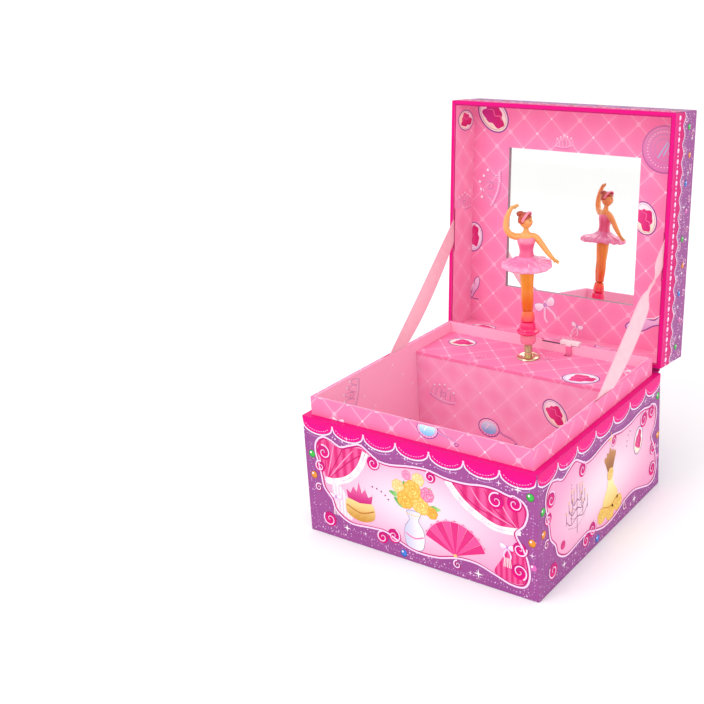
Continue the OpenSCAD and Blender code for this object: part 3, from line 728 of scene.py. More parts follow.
def crown_vase_fan(P, f):
    """What stands in the front's window: a crown, a vase of roses and a fan."""
    # a crown on a cushion
    cx, cy = f((37.5, 24))
    P.fill(shift(cx, cy, curve([(-9, -6), (0, -9), (9, -6), (10, 1), (6, 4.5), (-6, 4.5), (-10, 1)], 6,
                               True)),
           ink(GOLDD, (252, 220, 150), "v"), 4)
    P.line(shift(cx, cy, curve([(-9.6, -0.5), (0, -3.6), (9.6, -0.5)])), 0.8, ink((190, 120, 50)), 5)
    for k in range(3):
        P.line([(cx - 6 + 5 * k, cy - 7), (cx - 2 + 5 * k, cy - 3.4)], 0.35, ink((230, 180, 90)), 5)
    crown = [(-8, 4), (-9, 9), (-6, 7), (-4, 11.5), (-1.5, 8.5), (0, 15), (1.5, 8.5), (4, 11.5), (6, 7),
             (9, 9), (8, 4), (0, 2.6)]
    P.fill(shift(cx, cy, crown), ink((206, 44, 126), (246, 120, 180), "v"), 6)
    P.line(shift(cx, cy, crown), 0.35, ink(MAG), 7, closed=True)
    for a, b in ((-9, 9.4), (-4, 12), (0, 15.6), (4, 12), (9, 9.4)):
        P.dot((cx + a, cy + b), 0.7, ink((255, 200, 226)), 8, 9)
    for k, (a, b) in enumerate(((47, 39), (50, 38.6), (53, 37.6), (55.5, 36), (57.5, 34))):
        P.dot(f((a, b)), 0.55, ink(PLUM), 4, 8)
    # a tall vase of roses
    vx, vy = f((74, 20))
    vase = curve([(-4, -11.5), (-6.5, -6), (-6, 1), (-3, 6), (-4.4, 11), (4.4, 11), (3, 6), (6, 1), (6.5, -6),
                  (4, -11.5)], 5, True)
    P.fill(shift(vx, vy, vase), ink((206, 206, 232), WHITE, "u"), 6)
    P.line(shift(vx, vy, vase), 0.35, ink((150, 140, 180)), 7, closed=True)
    P.line(shift(vx, vy, curve([(-6, -3), (0, -5), (6, -3)])), 0.9, ink((240, 130, 180)), 7)
    P.beads(shift(vx, vy, curve([(-4, 9.5), (0, 8.6), (4, 9.5)])), 0.45, 1.3, ink(GOLD), 8)
    for a, b, l, t in ((-5, 12, 9, 2.6), (5, 13, 9, 0.5), (-2, 20, 9, 2.0), (7, 22, 8, 0.9), (10, 16, 8, 0.1),
                       (-9, 18, 7, 2.9)):
        leaf(P, vx + a, vy + b, l, t)
    for a, b, r, col, dk in ((-5, 17, 5.2, (252, 216, 112), (226, 160, 50)),
                             (5, 16, 5.4, (255, 232, 150), (236, 176, 70)),
                             (0, 24, 5.6, (253, 222, 124), (230, 166, 56)),
                             (9.5, 23.5, 4.2, (255, 190, 214), (236, 90, 150)),
                             (-9.5, 24, 3.9, (255, 238, 190), (240, 190, 100)),
                             (4, 31, 3.8, (255, 240, 200), (240, 196, 110)),
                             (12, 13.5, 3.6, (252, 206, 100), (222, 150, 44)),
                             (-3.6, 32, 2.8, (255, 196, 220), (238, 100, 160))):
        rose(P, vx + a, vy + b, r, col, dk)
    # an open fan
    fx, fy = f((100, 12))
    for k in range(9):
        t = 0.35 + k * 0.27
        P.fill([(fx, fy), (fx + 20 * cos(t), fy + 20 * sin(t)),
                (fx + 21 * cos(t + 0.13), fy + 21 * sin(t + 0.13)),
                (fx + 20 * cos(t + 0.26), fy + 20 * sin(t + 0.26))],
                ink((244, 84, 156) if k % 2 else (226, 50, 130)), 6)
    P.line([(fx + 20.2 * cos(0.35 + 2.43 * k / 20), fy + 20.2 * sin(0.35 + 2.43 * k / 20))
            for k in range(21)], 0.5,
           ink((255, 190, 220)), 7)
    P.dot((fx, fy), 1.1, ink(GOLD), 8, 12)


def candles_and_flask(P, f):
    """What stands in the side's window: a candle stand, a flask and a cameo."""
    # a candle stand drawn in line
    cx, cy = f((42, 33))
    L = ink((126, 74, 122))
    P.line([(cx, cy + 15), (cx, cy - 14)], 0.5, L, 4)
    for k, w in enumerate((12, 9, 6)):
        y = cy - 4 + 5 * k
        P.line(shift(cx, y, curve([(-w, 2.2), (-w * 0.6, -2), (0, 0), (w * 0.6, -2), (w, 2.2)])), 0.45, L, 4)
        for g in (-1, 1):
            for h in (1, 0.55):
                P.line([(cx + g * w * h, y - 3 * (1 - h)), (cx + g * w * h, y + 6)], 0.4, L, 4)
                P.dot((cx + g * w * h, y + 6.8), 0.5, ink((240, 190, 120)), 5, 8, 1.0)
        P.beads(shift(cx, y, curve([(-w * 0.8, -3), (0, -6), (w * 0.8, -3)])), 0.28, 1.3, L, 4)
    for k in range(4):
        P.dot(f((36, 50 - 2 * k)), 0.4, L, 4, 7)
    # a tall flask with a plume
    vx, vy = f((82, 27))
    P.fill(shift(vx, vy, curve([(-7, -15), (-9.5, -6), (-4, 2), (-2.2, 8), (2.2, 8), (4, 2), (9.5, -6),
                                (7, -15)], 6, True)),
           ink((240, 196, 96), (255, 246, 186), "v"), 6)
    P.line(shift(vx, vy, curve([(-8.6, -8), (0, -11), (8.6, -8)])), 0.8, ink((214, 150, 60)), 7)
    for k in range(5):
        P.line(shift(vx, vy, curve([(0, 8), (-2 + 2 * k - 2, 17), (-7 + 3.4 * k, 25 - abs(k - 2) * 2)])), 3.4,
               ink((150, 92, 60), (206, 146, 96), "u"), 6 + k % 2, taper=2)
    rose(P, vx, vy + 9, 3.6, (255, 236, 160), (232, 176, 80), 8)
    spark(P, vx + 1, vy + 30, 4.2, (252, 214, 120), 8)
    for a, b, r in ((-11, -12, 4.6), (10, -13, 4.8), (0, -15, 4.6)):
        rose(P, vx + a, vy + b, r, (255, 226, 130), (230, 170, 64))
    cameo(P, *f((119, 41)), 0.85, pi / 2 - 0.25)
    for k, (a, b) in enumerate(((103, 44), (103.4, 47), (105, 50), (107.6, 51.5))):
        P.dot(f((a, b)), 0.5, ink(PLUM), 4, 8)
    rose(P, *f((26, 20)), 2.4, (244, 84, 156), (200, 20, 110))


def face(name, org, U, V, flip=False, scene=0):
    """A side of the base: a framed window with a scene in it, under the pelmet."""
    W, H = 2 * HW, BASE_H
    P = Print(name, org, U, V, "base")
    P.clip = (0.25, 0.25, W - 0.25, H - 0.05)
    f = (lambda p: (W - p[0], p[1])) if flip else (lambda p: p)
    edge = curve([f(p) for p in FRAME], 6, True)
    P.fill(edge, ink((252, 226, 238), (244, 160, 200), "r"), 1)
    if scene == 0:
        curtains(P, f)
        crown_vase_fan(P, f)
    else:
        candles_and_flask(P, f)
    # the scrolled frame
    inner = [(p[0] * 0.985 + W * 0.0075, p[1] * 0.97 + 0.9) for p in edge]
    P.line(inner, 0.9, ink(MAG), 7, closed=True)
    P.line(edge, 1.05, ink(PALE), 8, closed=True)
    sg = -1 if flip else 1
    A = lambda a: pi - a if flip else a
    for x, y, r, a0, s in ((14, 52, 4.6, 1.9, -1), (10.5, 42.5, 3.6, 1.3, 1), (48.5, 53.5, 4.2, 1.4, -1),
                           (86, 54.5, 3.4, 1.9, 1),
                           (126, 51.5, 4.8, 1.2, 1), (137, 52.5, 4.6, 2.0, -1), (139.5, 27.5, 4.2, 0.3, -1),
                           (139, 14.5, 4.6, 5.2, 1),
                           (15, 10.5, 4.6, 2.4, 1), (52, 9.5, 3.8, 1.5, 1), (60, 12.5, 4.4, 1.2, -1),
                           (101, 7.2, 2.6, 1.6, 1),
                           (8.5, 29, 2.6, 0.8, 1)):
        if r > 3:
            P.dot(f((x, y)), r * 0.98, ink(HOTD, MAG, "v"), 7, 20)
        scroll(P, *f((x, y)), r, A(a0), s * sg, 9)
    # little pearls, gems and sparks on the purple ground
    rnd = random.Random(5 + scene)
    border = curve([f(p) for p in [(4.5, 56), (4, 44), (6.5, 36), (4.5, 24), (5.5, 12), (9, 5), (22, 4),
                                   (30, 7.5), (46, 6), (58, 4),
                                   (80, 3), (100, 3), (118, 4), (134, 2.6), (146, 3.4), (147.6, 14),
                                   (147, 30), (147.6, 50)]], 8)
    P.beads(border, 0.33, 1.9, ink(LILAC), 3)
    for x, y, c in ((5.2, 49, GREEN), (5.5, 36, ORANGE), (146, 58.5, GREEN), (146.6, 33, ORANGE),
                    (66, 3.6, BLUE), (147, 19, ORCHID)):
        gem(P, *f((x, y)), 2.3, c)
    for x, y, r in ((27, 8, 2.6), (114, 5.6, 3.0), (109, 4.6, 1.6), (128, 62, 2.0), (139, 61, 2.4),
                    (31, 64, 1.4), (70, 61.5, 1.5),
                    (146.5, 26, 1.8), (40, 8, 1.5), (96, 62, 1.3)):
        spark(P, *f((x, y)), r, WHITE if r > 2 else PALE)
    for _ in range(90):
        x, y = rnd.uniform(3, W - 3), rnd.choice([rnd.uniform(1.5, 6), rnd.uniform(59.5, 64)])
        P.dot((x, y), rnd.uniform(0.2, 0.5), ink(PALE), 1, 7)
    scallops(P, W, H)
    P.build()


def lid_side(name, org, U, V):
    """The lid's sides, drawn shut: v = 0 at the rim."""
    W, H = 2 * HW, LID_H
    P = Print(name, org, U, V, "lid", M_OPEN)
    P.clip = (0.25, 0.05, W - 0.25, H - 0.25)
    wave = curve([(i * W / 56, 13.6 + (1.5 if i % 4 == 1 else -1.2 if i % 4 == 3 else 0.2))
                  for i in range(57)], 4)
    P.fill([(0, 0), (W, 0)] + wave[::-1], ink((232, 0, 126), (206, 0, 112), "v"), 1)
    P.line(wave, 0.8, ink(PALE), 3)
    P.beads(shift(0, 1.6, wave), 0.34, 1.6, ink(PALE), 3)
    pearl_v, pearl_gap, x, k = 6.6, 3.1, 3.2, 0
    while x < W - 1:
        r = 1.5 if k % 2 == 0 else 0.7
        P.dot((x, pearl_v), r, ink((244, 176, 226), (252, 224, 246), "v"), 3, 14)
        if k % 2 == 0:
            P.dot((x - r * 0.3, pearl_v + r * 0.3), r * 0.35, ink(WHITE), 4, 8)
        x += pearl_gap
        k += 1
    P.line([(0, 1.2), (W, 1.2)], 0.3, ink((240, 80, 168)), 3)
    rnd = random.Random(len(name))
    cols = [GREEN, ORANGE, BLUE, ORCHID]
    for i in range(9):
        gem(P, 9 + i * (W - 18) / 8, 21 + (i % 2) * 3.2, 1.9, cols[i % 4])
    P.beads(curve([(i * W / 24, 19.5 + 4.2 * sin(i * 1.3)) for i in range(25)], 6), 0.34, 1.9, ink(PALE), 2)
    for i in range(16):
        x = 4 + i * (W - 8) / 15
        scroll(P, x, 27.2 if i % 2 else 16.5, 2.3, 1.0 + i, 1 if i % 2 else -1, 2, 0.6)
    for _ in range(120):
        P.dot((rnd.uniform(1, W - 1), rnd.uniform(14.5, H - 1.5)), rnd.uniform(0.2, 0.5), ink(PALE), 1, 7)
    for i in range(7):
        spark(P, 16 + i * 20, 26.5 - (i % 3) * 3, 1.9, WHITE)
    P.build()


def quarter(p, k):
    """A point of the lid's top after k quarter turns about its middle."""
    x, y = p[0] - HW, p[1] - HW
    for _ in range(k):
        x, y = -y, x
    return x + HW, y + HW


def shrunk(pts, f):
    """An outline of the lid's top made smaller about its middle."""
    return [((x - HW) * f + HW, (y - HW) * f + HW) for x, y in pts]


def both(x, s):
    """x on the right half of a face for s = 1, and where it is for s = -1."""
    return HW + s * (HW - x)


def lid_top():
    """The lid's top, drawn shut: v = 0 at the front."""
    P = Print("print_lid_top", (-HW, -HD, BASE_H + LID_H), (1, 0, 0), (0, 1, 0), "lid", M_OPEN)
    side = [(12, 12), (26, 9), (40, 13), (56, 8), (75, 12), (94, 8), (110, 13), (124, 9)]
    e = curve([quarter(p, k) for k in range(4) for p in side], 7, True)
    P.fill(e, ink((255, 240, 246), (250, 150, 196), "r"), 1)
    P.line(shrunk(e, 0.93), 0.7, ink((240, 96, 164)), 3, closed=True)
    P.beads(shrunk(e, 0.89), 0.6, 2.6, ink(WHITE), 3)
    P.line(shift(0.4, -0.5, e), 2.0, ink(MAG), 4, closed=True)
    P.line(e, 1.7, ink(PALE), 5, closed=True)
    for k in range(4):
        for x, y, r, a, s in ((16, 16, 6.5, 0.8, 1), (28, 14.5, 4.2, 1.2, -1), (14.5, 28, 4.2, 0.4, 1),
                              (66, 15, 5, 2.0, 1), (84, 15, 5, 1.1, -1)):
            scroll(P, *quarter((x, y), k), r, a + k * pi / 2, s, 6, 1.4)
    # a heart medallion with scrolls, roses and a ribbon
    P.fill(heart((75, 76), 34), ink((255, 214, 232), (238, 70, 150), "r"), 2)
    P.line(heart((75, 76), 34), 1.7, ink(MAG), 3, closed=True)
    P.line(heart((75, 76), 32), 1.0, ink(PALE), 4, closed=True)
    loop = heart((75, 76), 29.5)
    P.beads(loop + loop[:1], 0.7, 2.4, ink(WHITE), 5)
    for s in (-1, 1):
        for x, y, r, a in ((40, 92, 6, 0.5), (34, 66, 6.5, 2.0), (46, 44, 5.4, 1.0), (58, 106, 4.6, 2.6)):
            scroll(P, both(x, s), y, r, a if s < 0 else pi - a, s, 5, 1.3)
        for x, y, r in ((30, 112, 5), (38, 120, 3.6), (24, 40, 4.2)):
            rose(P, both(x, s), y, r, ROSE, BERRY, 5)
            leaf(P, both(x + r, s), y - r, 6, -0.8 if s > 0 else 3.9)
    for x, y, r, c in ((75, 80, 9, (255, 170, 204)), (63, 72, 6.4, (255, 232, 160)),
                       (87, 72, 6.4, (214, 236, 255)), (75, 63, 6, (255, 206, 226))):
        rose(P, x, y, r, c, tuple(int(v * 0.78) for v in c), 6)
    for a in range(6):
        leaf(P, 75 + 13 * cos(a), 74 + 13 * sin(a), 7, a)
    bow(P, 75, 52, 1.6, 0, (255, 226, 240), (230, 90, 160))
    tiara(P, 75, 118, 1.25, 0, (236, 120, 190))
    P.beads([(4, 4), (146, 4), (146, 146), (4, 146), (4, 4)], 0.5, 2.6, ink(LILAC), 3)
    for k in range(4):
        for y, c in ((30, GREEN), (75, ORANGE), (120, BLUE)):
            gem(P, *quarter((5.5, y), k), 2.3, c)
    rnd = random.Random(9)
    for _ in range(160):
        t, d = rnd.random() * 150, rnd.uniform(1.5, 8)
        P.dot(rnd.choice([(t, d), (t, 150 - d), (d, t), (150 - d, t)]), rnd.uniform(0.25, 0.6), ink(PALE), 1,
              7)
    P.build()


face("print_front", (-75, -75, 0), (1, 0, 0), (0, 0, 1))
face("print_right", (75, -75, 0), (0, 1, 0), (0, 0, 1), scene=1)
face("print_left", (-75, 75, 0), (0, -1, 0), (0, 0, 1), flip=True, scene=1)
lid_side("print_lid_front", (-75, -75, BASE_H), (1, 0, 0), (0, 0, 1))
lid_side("print_lid_right", (75, -75, BASE_H), (0, 1, 0), (0, 0, 1))
lid_side("print_lid_left", (-75, 75, BASE_H), (0, -1, 0), (0, 0, 1))
lid_top()


def back_print():
    """The back is plainer: pearls, scrolls, roses, gems and sparks round the key."""
    P = Print("print_back", (75, 75, 0), (-1, 0, 0), (0, 0, 1), "base")
    P.beads([(5, 52), (5, 5), (145, 5), (145, 52)], 0.4, 2.2, ink(LILAC), 3)
    for s in (-1, 1):
        for x, y, r, a in ((38, 30, 7, 0.6), (26, 22, 5, 2.2), (52, 22, 5, 1.2), (36, 44, 4, 2.6),
                           (60, 36, 4.2, 0.3)):
            scroll(P, both(x, s), y, r, a if s < 0 else pi - a, s, 5, 1.2)
        for x, y, c in ((20, 44, GREEN), (46, 44, ORANGE), (30, 10, BLUE), (56, 12, ORCHID)):
            gem(P, both(x, s), y, 2, c)
        rose(P, both(45, s), 16, 4, ROSE, BERRY, 5)
    rnd = random.Random(3)
    for _ in range(110):
        P.dot((rnd.uniform(3, 147), rnd.uniform(3, 54)), rnd.uniform(0.2, 0.5), ink(PALE), 1, 7)
    for i in range(8):
        spark(P, 14 + i * 17.5, 50 - (i % 2) * 5, 1.9, WHITE)
    P.build()


back_print()


# ---------- motifs on the lining ----------
def inner_print(name, org, U, V, body, items, clip, M=None):
    """Motifs on one face of the lining; items are (motif, its arguments)."""
    P = Print(name, org, U, V, body, M, lift=0.04)
    P.clip = clip
    for fn, *a in items:
        fn(P, *a)
    P.build()


# the card round the mirror: u from the viewer's left, v up, both from the card's middle
inner_print("liner_print_lid", (0, 0.5, PANEL_Z), (1, 0, 0), (0, -1, 0), "lid",
            [(cameo, -58, 66, 1.3, -0.75, CREAM, (206, 56, 150)), (puff, 60, 52, 1.3),
             (tiara, -57, 20, 1.15, 1.35),
             (cameo, -71, -15, 1.0, 1.45, (246, 226, 246)), (slipper, 55, -54, 1.3, 0.0, -1),
             (bow, -15.5, -53.5, 1.1, 0.5, BLUSH),
             (slipper, -70, -50, 0.8, 1.5), (tiara, -6, 51, 0.6, 0.1, PALE), (bow, 8, -64, 0.6, -0.3, BLUSH)],
            (-72, -72, 72, 72), M_OPEN)
inner_print("liner_print_lid_side", (0, 0.5, PANEL_Z), (1, 0, 0), (0, -1, 0), "lid",
            [(cameo, 50, 10, 1.05, -1.25)], (45.7, -72, 72, 72), M_OPEN)
inner_print("liner_print_deck", (0, 49.1, DECK_Z), (1, 0, 0), (0, 1, 0), "base",
            [(cameo, 41.5, -11.5, 1.12, 0.3, (246, 232, 250)), (tiara, 10, 5, 0.5, 0.4, (222, 140, 196)),
             (cameo, -52, 7, 0.95, 0.1), (bow, 58, 10, 0.7, 0.4, BLUSH),
             (tiara, -28, -12, 0.55, 0.6, (236, 150, 206))],
            (-69, -20, 69, 20))
inner_print("liner_print_wall", (0, DECK_Y0, 0), (1, 0, 0), (0, 0, 1), "base",
            [(cameo, 29, 53.5, 0.98, -0.9), (hand_mirror, -17, 34.5, 1.0, 0.0), (tiara, -50, 49, 0.9, -0.2),
             (cameo, -44, 20, 0.9, 0.4), (slipper, 10, 16, 0.9, 0.2), (tiara, 52, 26, 0.8, 0.3)],
            (-69, 5, 69, 73))
inner_print("liner_print_neck_front", (0, -NECK_OUT, 0), (1, 0, 0), (0, 0, 1), "base",
            [(hand_mirror, 8, 80.0, 0.9, 0.12), (bow, -52, 71.5, 0.6, 0)],
            (-70.5, 71.6, 70.5, NECK_TOP - 0.1))
inner_print("liner_print_left_wall", (-NECK_IN, 0, 0), (0, 1, 0), (0, 0, 1), "base",
            [(tiara, -36, 70, 1.0, 1.2), (hand_mirror, 0, 30, 0.9, 0.5), (cameo, -50, 30, 0.9, 0.6)],
            (-69, 5, 28, NECK_TOP - 0.2))
inner_print("liner_print_right_wall", (NECK_IN, 0, 0), (0, -1, 0), (0, 0, 1), "base",
            [(tiara, 36, 58, 1.0, 0.2), (cameo, 4, 36, 0.9, 0.5), (slipper, 40, 26, 0.9)],
            (-28, 5, 69, NECK_TOP - 0.2))
inner_print("liner_print_front_wall", (0, -NECK_IN, 0), (-1, 0, 0), (0, 0, 1), "base",
            [(cameo, -40, 44, 0.9, 0.4), (hand_mirror, 6, 52, 0.9), (tiara, 46, 34, 0.9, -0.3),
             (slipper, -6, 20, 0.9)],
            (-69, 5, 69, NECK_TOP - 0.2))
inner_print("liner_print_floor", (0, -20.3, 4.1), (1, 0, 0), (0, 1, 0), "base",
            [(cameo, -36, 20, 1.0, 0.4), (hand_mirror, 20, -14, 1.0, 0.4), (tiara, 44, 30, 1.0, -0.3),
             (slipper, -30, -26, 1.0, 0.2)],
            (-68, -48, 68, 48))
inner_print("liner_print_lid_left", (-72.1, 0, BASE_H), (0, 1, 0), (0, 0, 1), "lid",
            [(cameo, -62, 12, 0.9, 1.5), (tiara, -8, 12, 0.8, 1.5)], (-71, 0.6, 71, 22), M_OPEN)
inner_print("liner_print_lid_low", (0, 72.1, BASE_H), (1, 0, 0), (0, 0, 1), "lid",
            [(slipper, 34, 11, 0.9, 0.1), (tiara, 4, 14, 0.7, 0.1, PALE), (cameo, -54, 10, 0.9, 0.1)],
            (-71, 0.6, 71, 22), M_OPEN)


# ---------- materials of the carried-over nodes ----------
def paint(node, mat):
    """Gives a carried-over node its material."""
    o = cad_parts[node]
    o.data.materials.clear()
    o.data.materials.append(mat)
    return o


def soften(node, w):
    """Rounds the sharp edges of a carried-over node."""
    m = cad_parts[node].modifiers.new("edge", "BEVEL")
    m.width, m.segments, m.limit_method, m.angle_limit = w * MM, 2, "ANGLE", radians(50)
    m.harden_normals = False


GROUND, GROUND_LID = ground("paper_purple"), ground("paper_purple_lid", True)
# the same lining paper everywhere; its paler bases on the compartment, the neck's inner faces and the lid are
# painted light on faces in shade
Q_BASE = quilt("paper_quilt", off=(3.0, 2.0), base=(255, 174, 208))
Q_DECK = quilt("paper_quilt_deck", off=(8.0, 6.0), base=(252, 134, 180))
Q_NECK = quilt("paper_quilt_neck", off=(-4.0, 3.0), inner=69.8)
# paler base than the deck's: painted light on the lid's lining; its rim colour is painted shade along the gap
# at its edge
Q_LID = quilt("paper_quilt_lid", True, off=(6.0, -3.0), base=(255, 164, 200), rim=(196, 30, 112))
Q_CARD = quilt("paper_quilt_card", True, off=(6.0, -3.0), base=(254, 144, 188), edge=(170, 150, 160))
for n in ("base_shell", "base_bottom", "hinge_leaf_base", "hinge_spine"):
    paint(n, GROUND)
for n in ("lid_shell", "hinge_leaf_lid"):
    paint(n, GROUND_LID)
paint("neck_liner", Q_NECK)
paint("compartment_floor", Q_BASE)
paint("platform_front", Q_BASE)
paint("platform_deck", Q_DECK)
paint("lid_liner", Q_LID)
paint("mirror_frame", Q_CARD)
for n in ("base_shell", "lid_shell", "neck_liner", "platform_deck", "platform_front", "mirror_frame",
          "lid_liner", "compartment_floor"):
    soften(n, 0.28)


def metal(name, rgb, rough=0.22, streak=0.1):
    """Polished metal with fine scratches and duller patches."""
    n = Nodes(name)
    c = n.obj()
    a = n.noise(c, 900, 4, 0.6)
    b = n.noise(c, 160, 3)
    col = n.mix(n.mul(b, 0.5), lin(rgb), lin(tuple(x * 0.72 for x in rgb)))
    r = n.add(n.mul(a, streak * 2), rough - streak)
    n.set(Base_Color=col, Metallic=1.0, Roughness=r)
    n.bump(a, 0.00004, 0.3)
    return n.mat


def plastic(name, rgb, rgb2=None, rough=0.25, sss=0.0, trans=0.0, z=None):
    """Moulded plastic, shaded from rgb to rgb2 between two heights."""
    n = Nodes(name)
    c = n.obj()
    f = n.noise(c, 260, 3)
    col = n.mix(n.mul(f, 0.25), lin(rgb), lin(tuple(x * 0.88 for x in rgb)))
    if rgb2 and z:
        zz = n.split(c)[2]
        col = n.mix(n.step(zz, z[0] * MM, z[1] * MM), col, lin(rgb2))
    n.set(Base_Color=col, Coat_Weight=0.4, Coat_Roughness=0.12)
    n.set(Roughness=n.add(n.mul(f, 0.12), rough - 0.06))
    if sss:
        n.set(Subsurface_Weight=sss, Subsurface_Scale=0.004, Subsurface_Radius=(1.0, 0.5, 0.4))
    if trans:
        n.set(Transmission_Weight=trans, IOR=1.46)
    n.bump(n.noise(c, 1400, 3), 0.00003, 0.35)
    return n.mat


def card(name, rgb):
    """Bare board."""
    n = Nodes(name)
    c = n.obj()
    f = n.noise(c, 700, 5, 0.7)
    n.set(Base_Color=n.mix(f, lin(rgb), lin(tuple(x * 0.8 for x in rgb))), Roughness=0.9)
    n.bump(f, 0.0001, 0.6)
    return n.mat


def mirror():
    n = Nodes("mirror_silver")
    c = n.obj()
    f = n.noise(c, 30, 2)
    n.set(Base_Color=n.mix(f, (0.955, 0.95, 0.945), (0.98, 0.975, 0.97)), Metallic=1.0)
    n.set(Roughness=n.mul(f, 0.02))
    return n.mat


BRASS, NICKEL = metal("brass", (214, 178, 104)), metal("nickel", (226, 208, 166), 0.2)
STEEL = metal("steel", (190, 192, 198), 0.3)
brass_nodes = ("comb_screws", "tune_cylinder", "drive_pinion", "cylinder_wheel", "great_wheel",
               "barrel_cover", "idler_pinion",
               "idler_wheel", "fly_pinion", "winding_key", "key_plate")
steel_nodes = ("bedplate", "bedplate_screws", "lower_bracket", "train_bracket", "footstep_bracket",
               "comb_block", "comb", "tune_pins",
               "spring_barrel", "idler_arbor", "fly_arbor", "winding_arbor")
for n in brass_nodes:
    paint(n, BRASS)
for n in steel_nodes:
    paint(n, STEEL)
for n in ("spindle", "deck_eyelet"):
    paint(n, NICKEL)
for n in ("stop_guide", "fly_vane"):
    paint(n, plastic("white_" + n, (242, 238, 232), rough=0.4))
paint("stop_slider", plastic("white_stop_slider", (250, 122, 172), (246, 242, 240), rough=0.4,
                             z=(STOP_Z - 0.05, STOP_Z)))
paint("mirror_glass", mirror())
paint("mirror_backing", card("grey_card", (150, 142, 132)))
paint("lid_spacers", card("grey_card_spacer", (160, 152, 140)))
for n in ("deck_eyelet", "winding_key", "key_plate", "bedplate", "stop_slider", "tune_cylinder", "comb",
          "comb_block", "spring_barrel"):
    soften(n, 0.12)


# ---------- mesh helpers ----------
def mesh(name, verts, faces, mat, body, slot, smooth=True, M=None):
    """A new piece from points in mm, with its normals outwards."""
    me = bpy.data.meshes.new(name)
    A = Matrix.Scale(MM, 4) @ (M or Matrix())
    me.from_pydata([A @ Vector(v) for v in verts], [], faces)
    bm = bmesh.new()
    bm.from_mesh(me)
    bmesh.ops.recalc_face_normals(bm, faces=bm.faces)
    bm.to_mesh(me)
    bm.free()
    me.materials.append(mat)
    if smooth:
        me.polygons.foreach_set("use_smooth", [True] * len(me.polygons))
    o = bpy.data.objects.new(name, me)
    S.collection.objects.link(o)
    if body:
        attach(o, body)
    return o


def loft(rings):
    """Closed skin through rings of equal count."""
    n = len(rings[0])
    verts = [p for r in rings for p in r]
    faces = [[i * n + j, i * n + (j + 1) % n, (i + 1) * n + (j + 1) % n, (i + 1) * n + j]
             for i in range(len(rings) - 1) for j in range(n)]
    faces += [list(range(n))[::-1], [(len(rings) - 1) * n + j for j in range(n)]]
    return verts, faces


def tube(path, radii, n=18, flat=1.0):
    """A round limb along a smooth path; flat squeezes it across."""
    P = [Vector(p) for p in path]
    rings, side = [], None
    for i, p in enumerate(P):
        d = (P[min(i + 1, len(P) - 1)] - P[max(i - 1, 0)]).normalized()
        if side is None:
            side = d.cross(Vector((0, 1, 0.2))).normalized()
        side = (side - d * side.dot(d)).normalized()
        up = d.cross(side)
        rings.append([p + radii[i] * (side * cos(t) + up * sin(t) * flat)
                      for t in (2 * pi * k / n for k in range(n))])
    return loft(rings)


def limb(pts, n=18, flat=1.0):
    """A limb with rounded ends through (x, y, z, radius) points."""
    def cap(p, nxt):
        d = (Vector(p[:3]) - Vector(nxt[:3])).normalized()
        return [[*(Vector(p[:3]) + d * p[3] * sin(t)), max(p[3] * cos(t), 0.02)]
                for t in (0.5, 1.0, 1.35, 1.55)]

    q = curve(pts, 6)
    q = cap(q[0], q[1])[::-1] + q + cap(q[-1], q[-2])
    return tube([p[:3] for p in q], [p[3] for p in q], n, flat)


def join(*parts):
    """Several (points, faces) as one."""
    verts, faces = [], []
    for v, f in parts:
        k = len(verts)
        verts += [Vector(p) for p in v]
        faces += [[i + k for i in g] for g in f]
    return verts, faces


def spun(profile, n=64):
    """A turned shape from (radius, height) pairs."""
    rings = [[(r * cos(t), r * sin(t), z) for t in (2 * pi * k / n for k in range(n))] for r, z in profile]
    return loft(rings)


DM = Matrix.Translation((SPIN.x, SPIN.y, DECK_Z)) @ Matrix.Rotation(DOLL, 4, "Z")


def doll(name, vf, mat, slot, *nodes, body="doll", sub=0):
    """A piece of the dancer, drawn about the spindle with z from the deck."""
    o = mesh(name, *vf, mat, body, slot, True, DM)
    if sub:
        m = o.modifiers.new("sub", "SUBSURF")
        m.levels = m.render_levels = sub
    if nodes:
        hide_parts(*nodes)


# ---------- the dancer ----------
CUP = plastic("cup_clear_pink", (255, 142, 168), rough=0.18, sss=0.5)
HOTP = plastic("boot_hot_pink", (255, 40, 116), rough=0.16, sss=0.25)
ANK = plastic("ankle_clear_pink", (255, 64, 96), (250, 112, 60), rough=0.16, sss=0.4,
              z=(DECK_Z + 23, DECK_Z + 30))
LEG = plastic("leg_orange", (234, 112, 18), (240, 170, 44), rough=0.2, sss=0.5, z=(DECK_Z + 32, DECK_Z + 54))
SKIN = plastic("skin_amber", (246, 172, 86), (242, 166, 92), rough=0.3, sss=0.3, z=(DECK_Z + 62, DECK_Z + 92))
# darker from the rim up to the waist: painted shade on the skirt's top
SKIRT = plastic("skirt_pearl_pink", (248, 168, 204), (234, 128, 178), rough=0.26, sss=0.2,
                z=(DECK_Z + 58, DECK_Z + 63))
# paler towards the top: a painted highlight on the bust
BODICE = plastic("bodice_pink", (236, 92, 140), (252, 150, 180), rough=0.3, sss=0.15,
                 z=(DECK_Z + 71, DECK_Z + 78))
HAIR = plastic("hair_copper", (196, 70, 22), (156, 48, 20), rough=0.34, sss=0.1, z=(DECK_Z + 84, DECK_Z + 97))
BAND = plastic("band_pink", (250, 132, 158), rough=0.3)

# soft cup round the coil, turning about the fold
cup = [(2.8, 9.6), (3.6, 8.9), (4.5, 9.9), (4.95, 11.6), (5.0, 13.0), (4.75, 14.2), (4.6, 15.3), (4.2, 15.4),
       (0.3, 15.4), (0.3, 13.2), (2.7, 13.1), (2.7, 9.7)]
doll("cup", spun(cup), CUP, "clear_pink", "fold_cup", body="fold", sub=1)
disc = [(0.2, 15.6), (3.9, 15.6), (4.2, 16.1), (6.3, 16.2), (6.85, 16.5), (7.0, 17.0), (6.85, 17.6),
        (6.2, 18.0), (5.2, 18.3), (4.75, 18.8),
        (4.7, 20.0), (4.6, 21.4), (4.35, 22.7), (4.0, 23.4), (0.2, 23.4)]
doll("boot_base", spun(disc), HOTP, "pink_plastic", "doll_pedestal", sub=1)


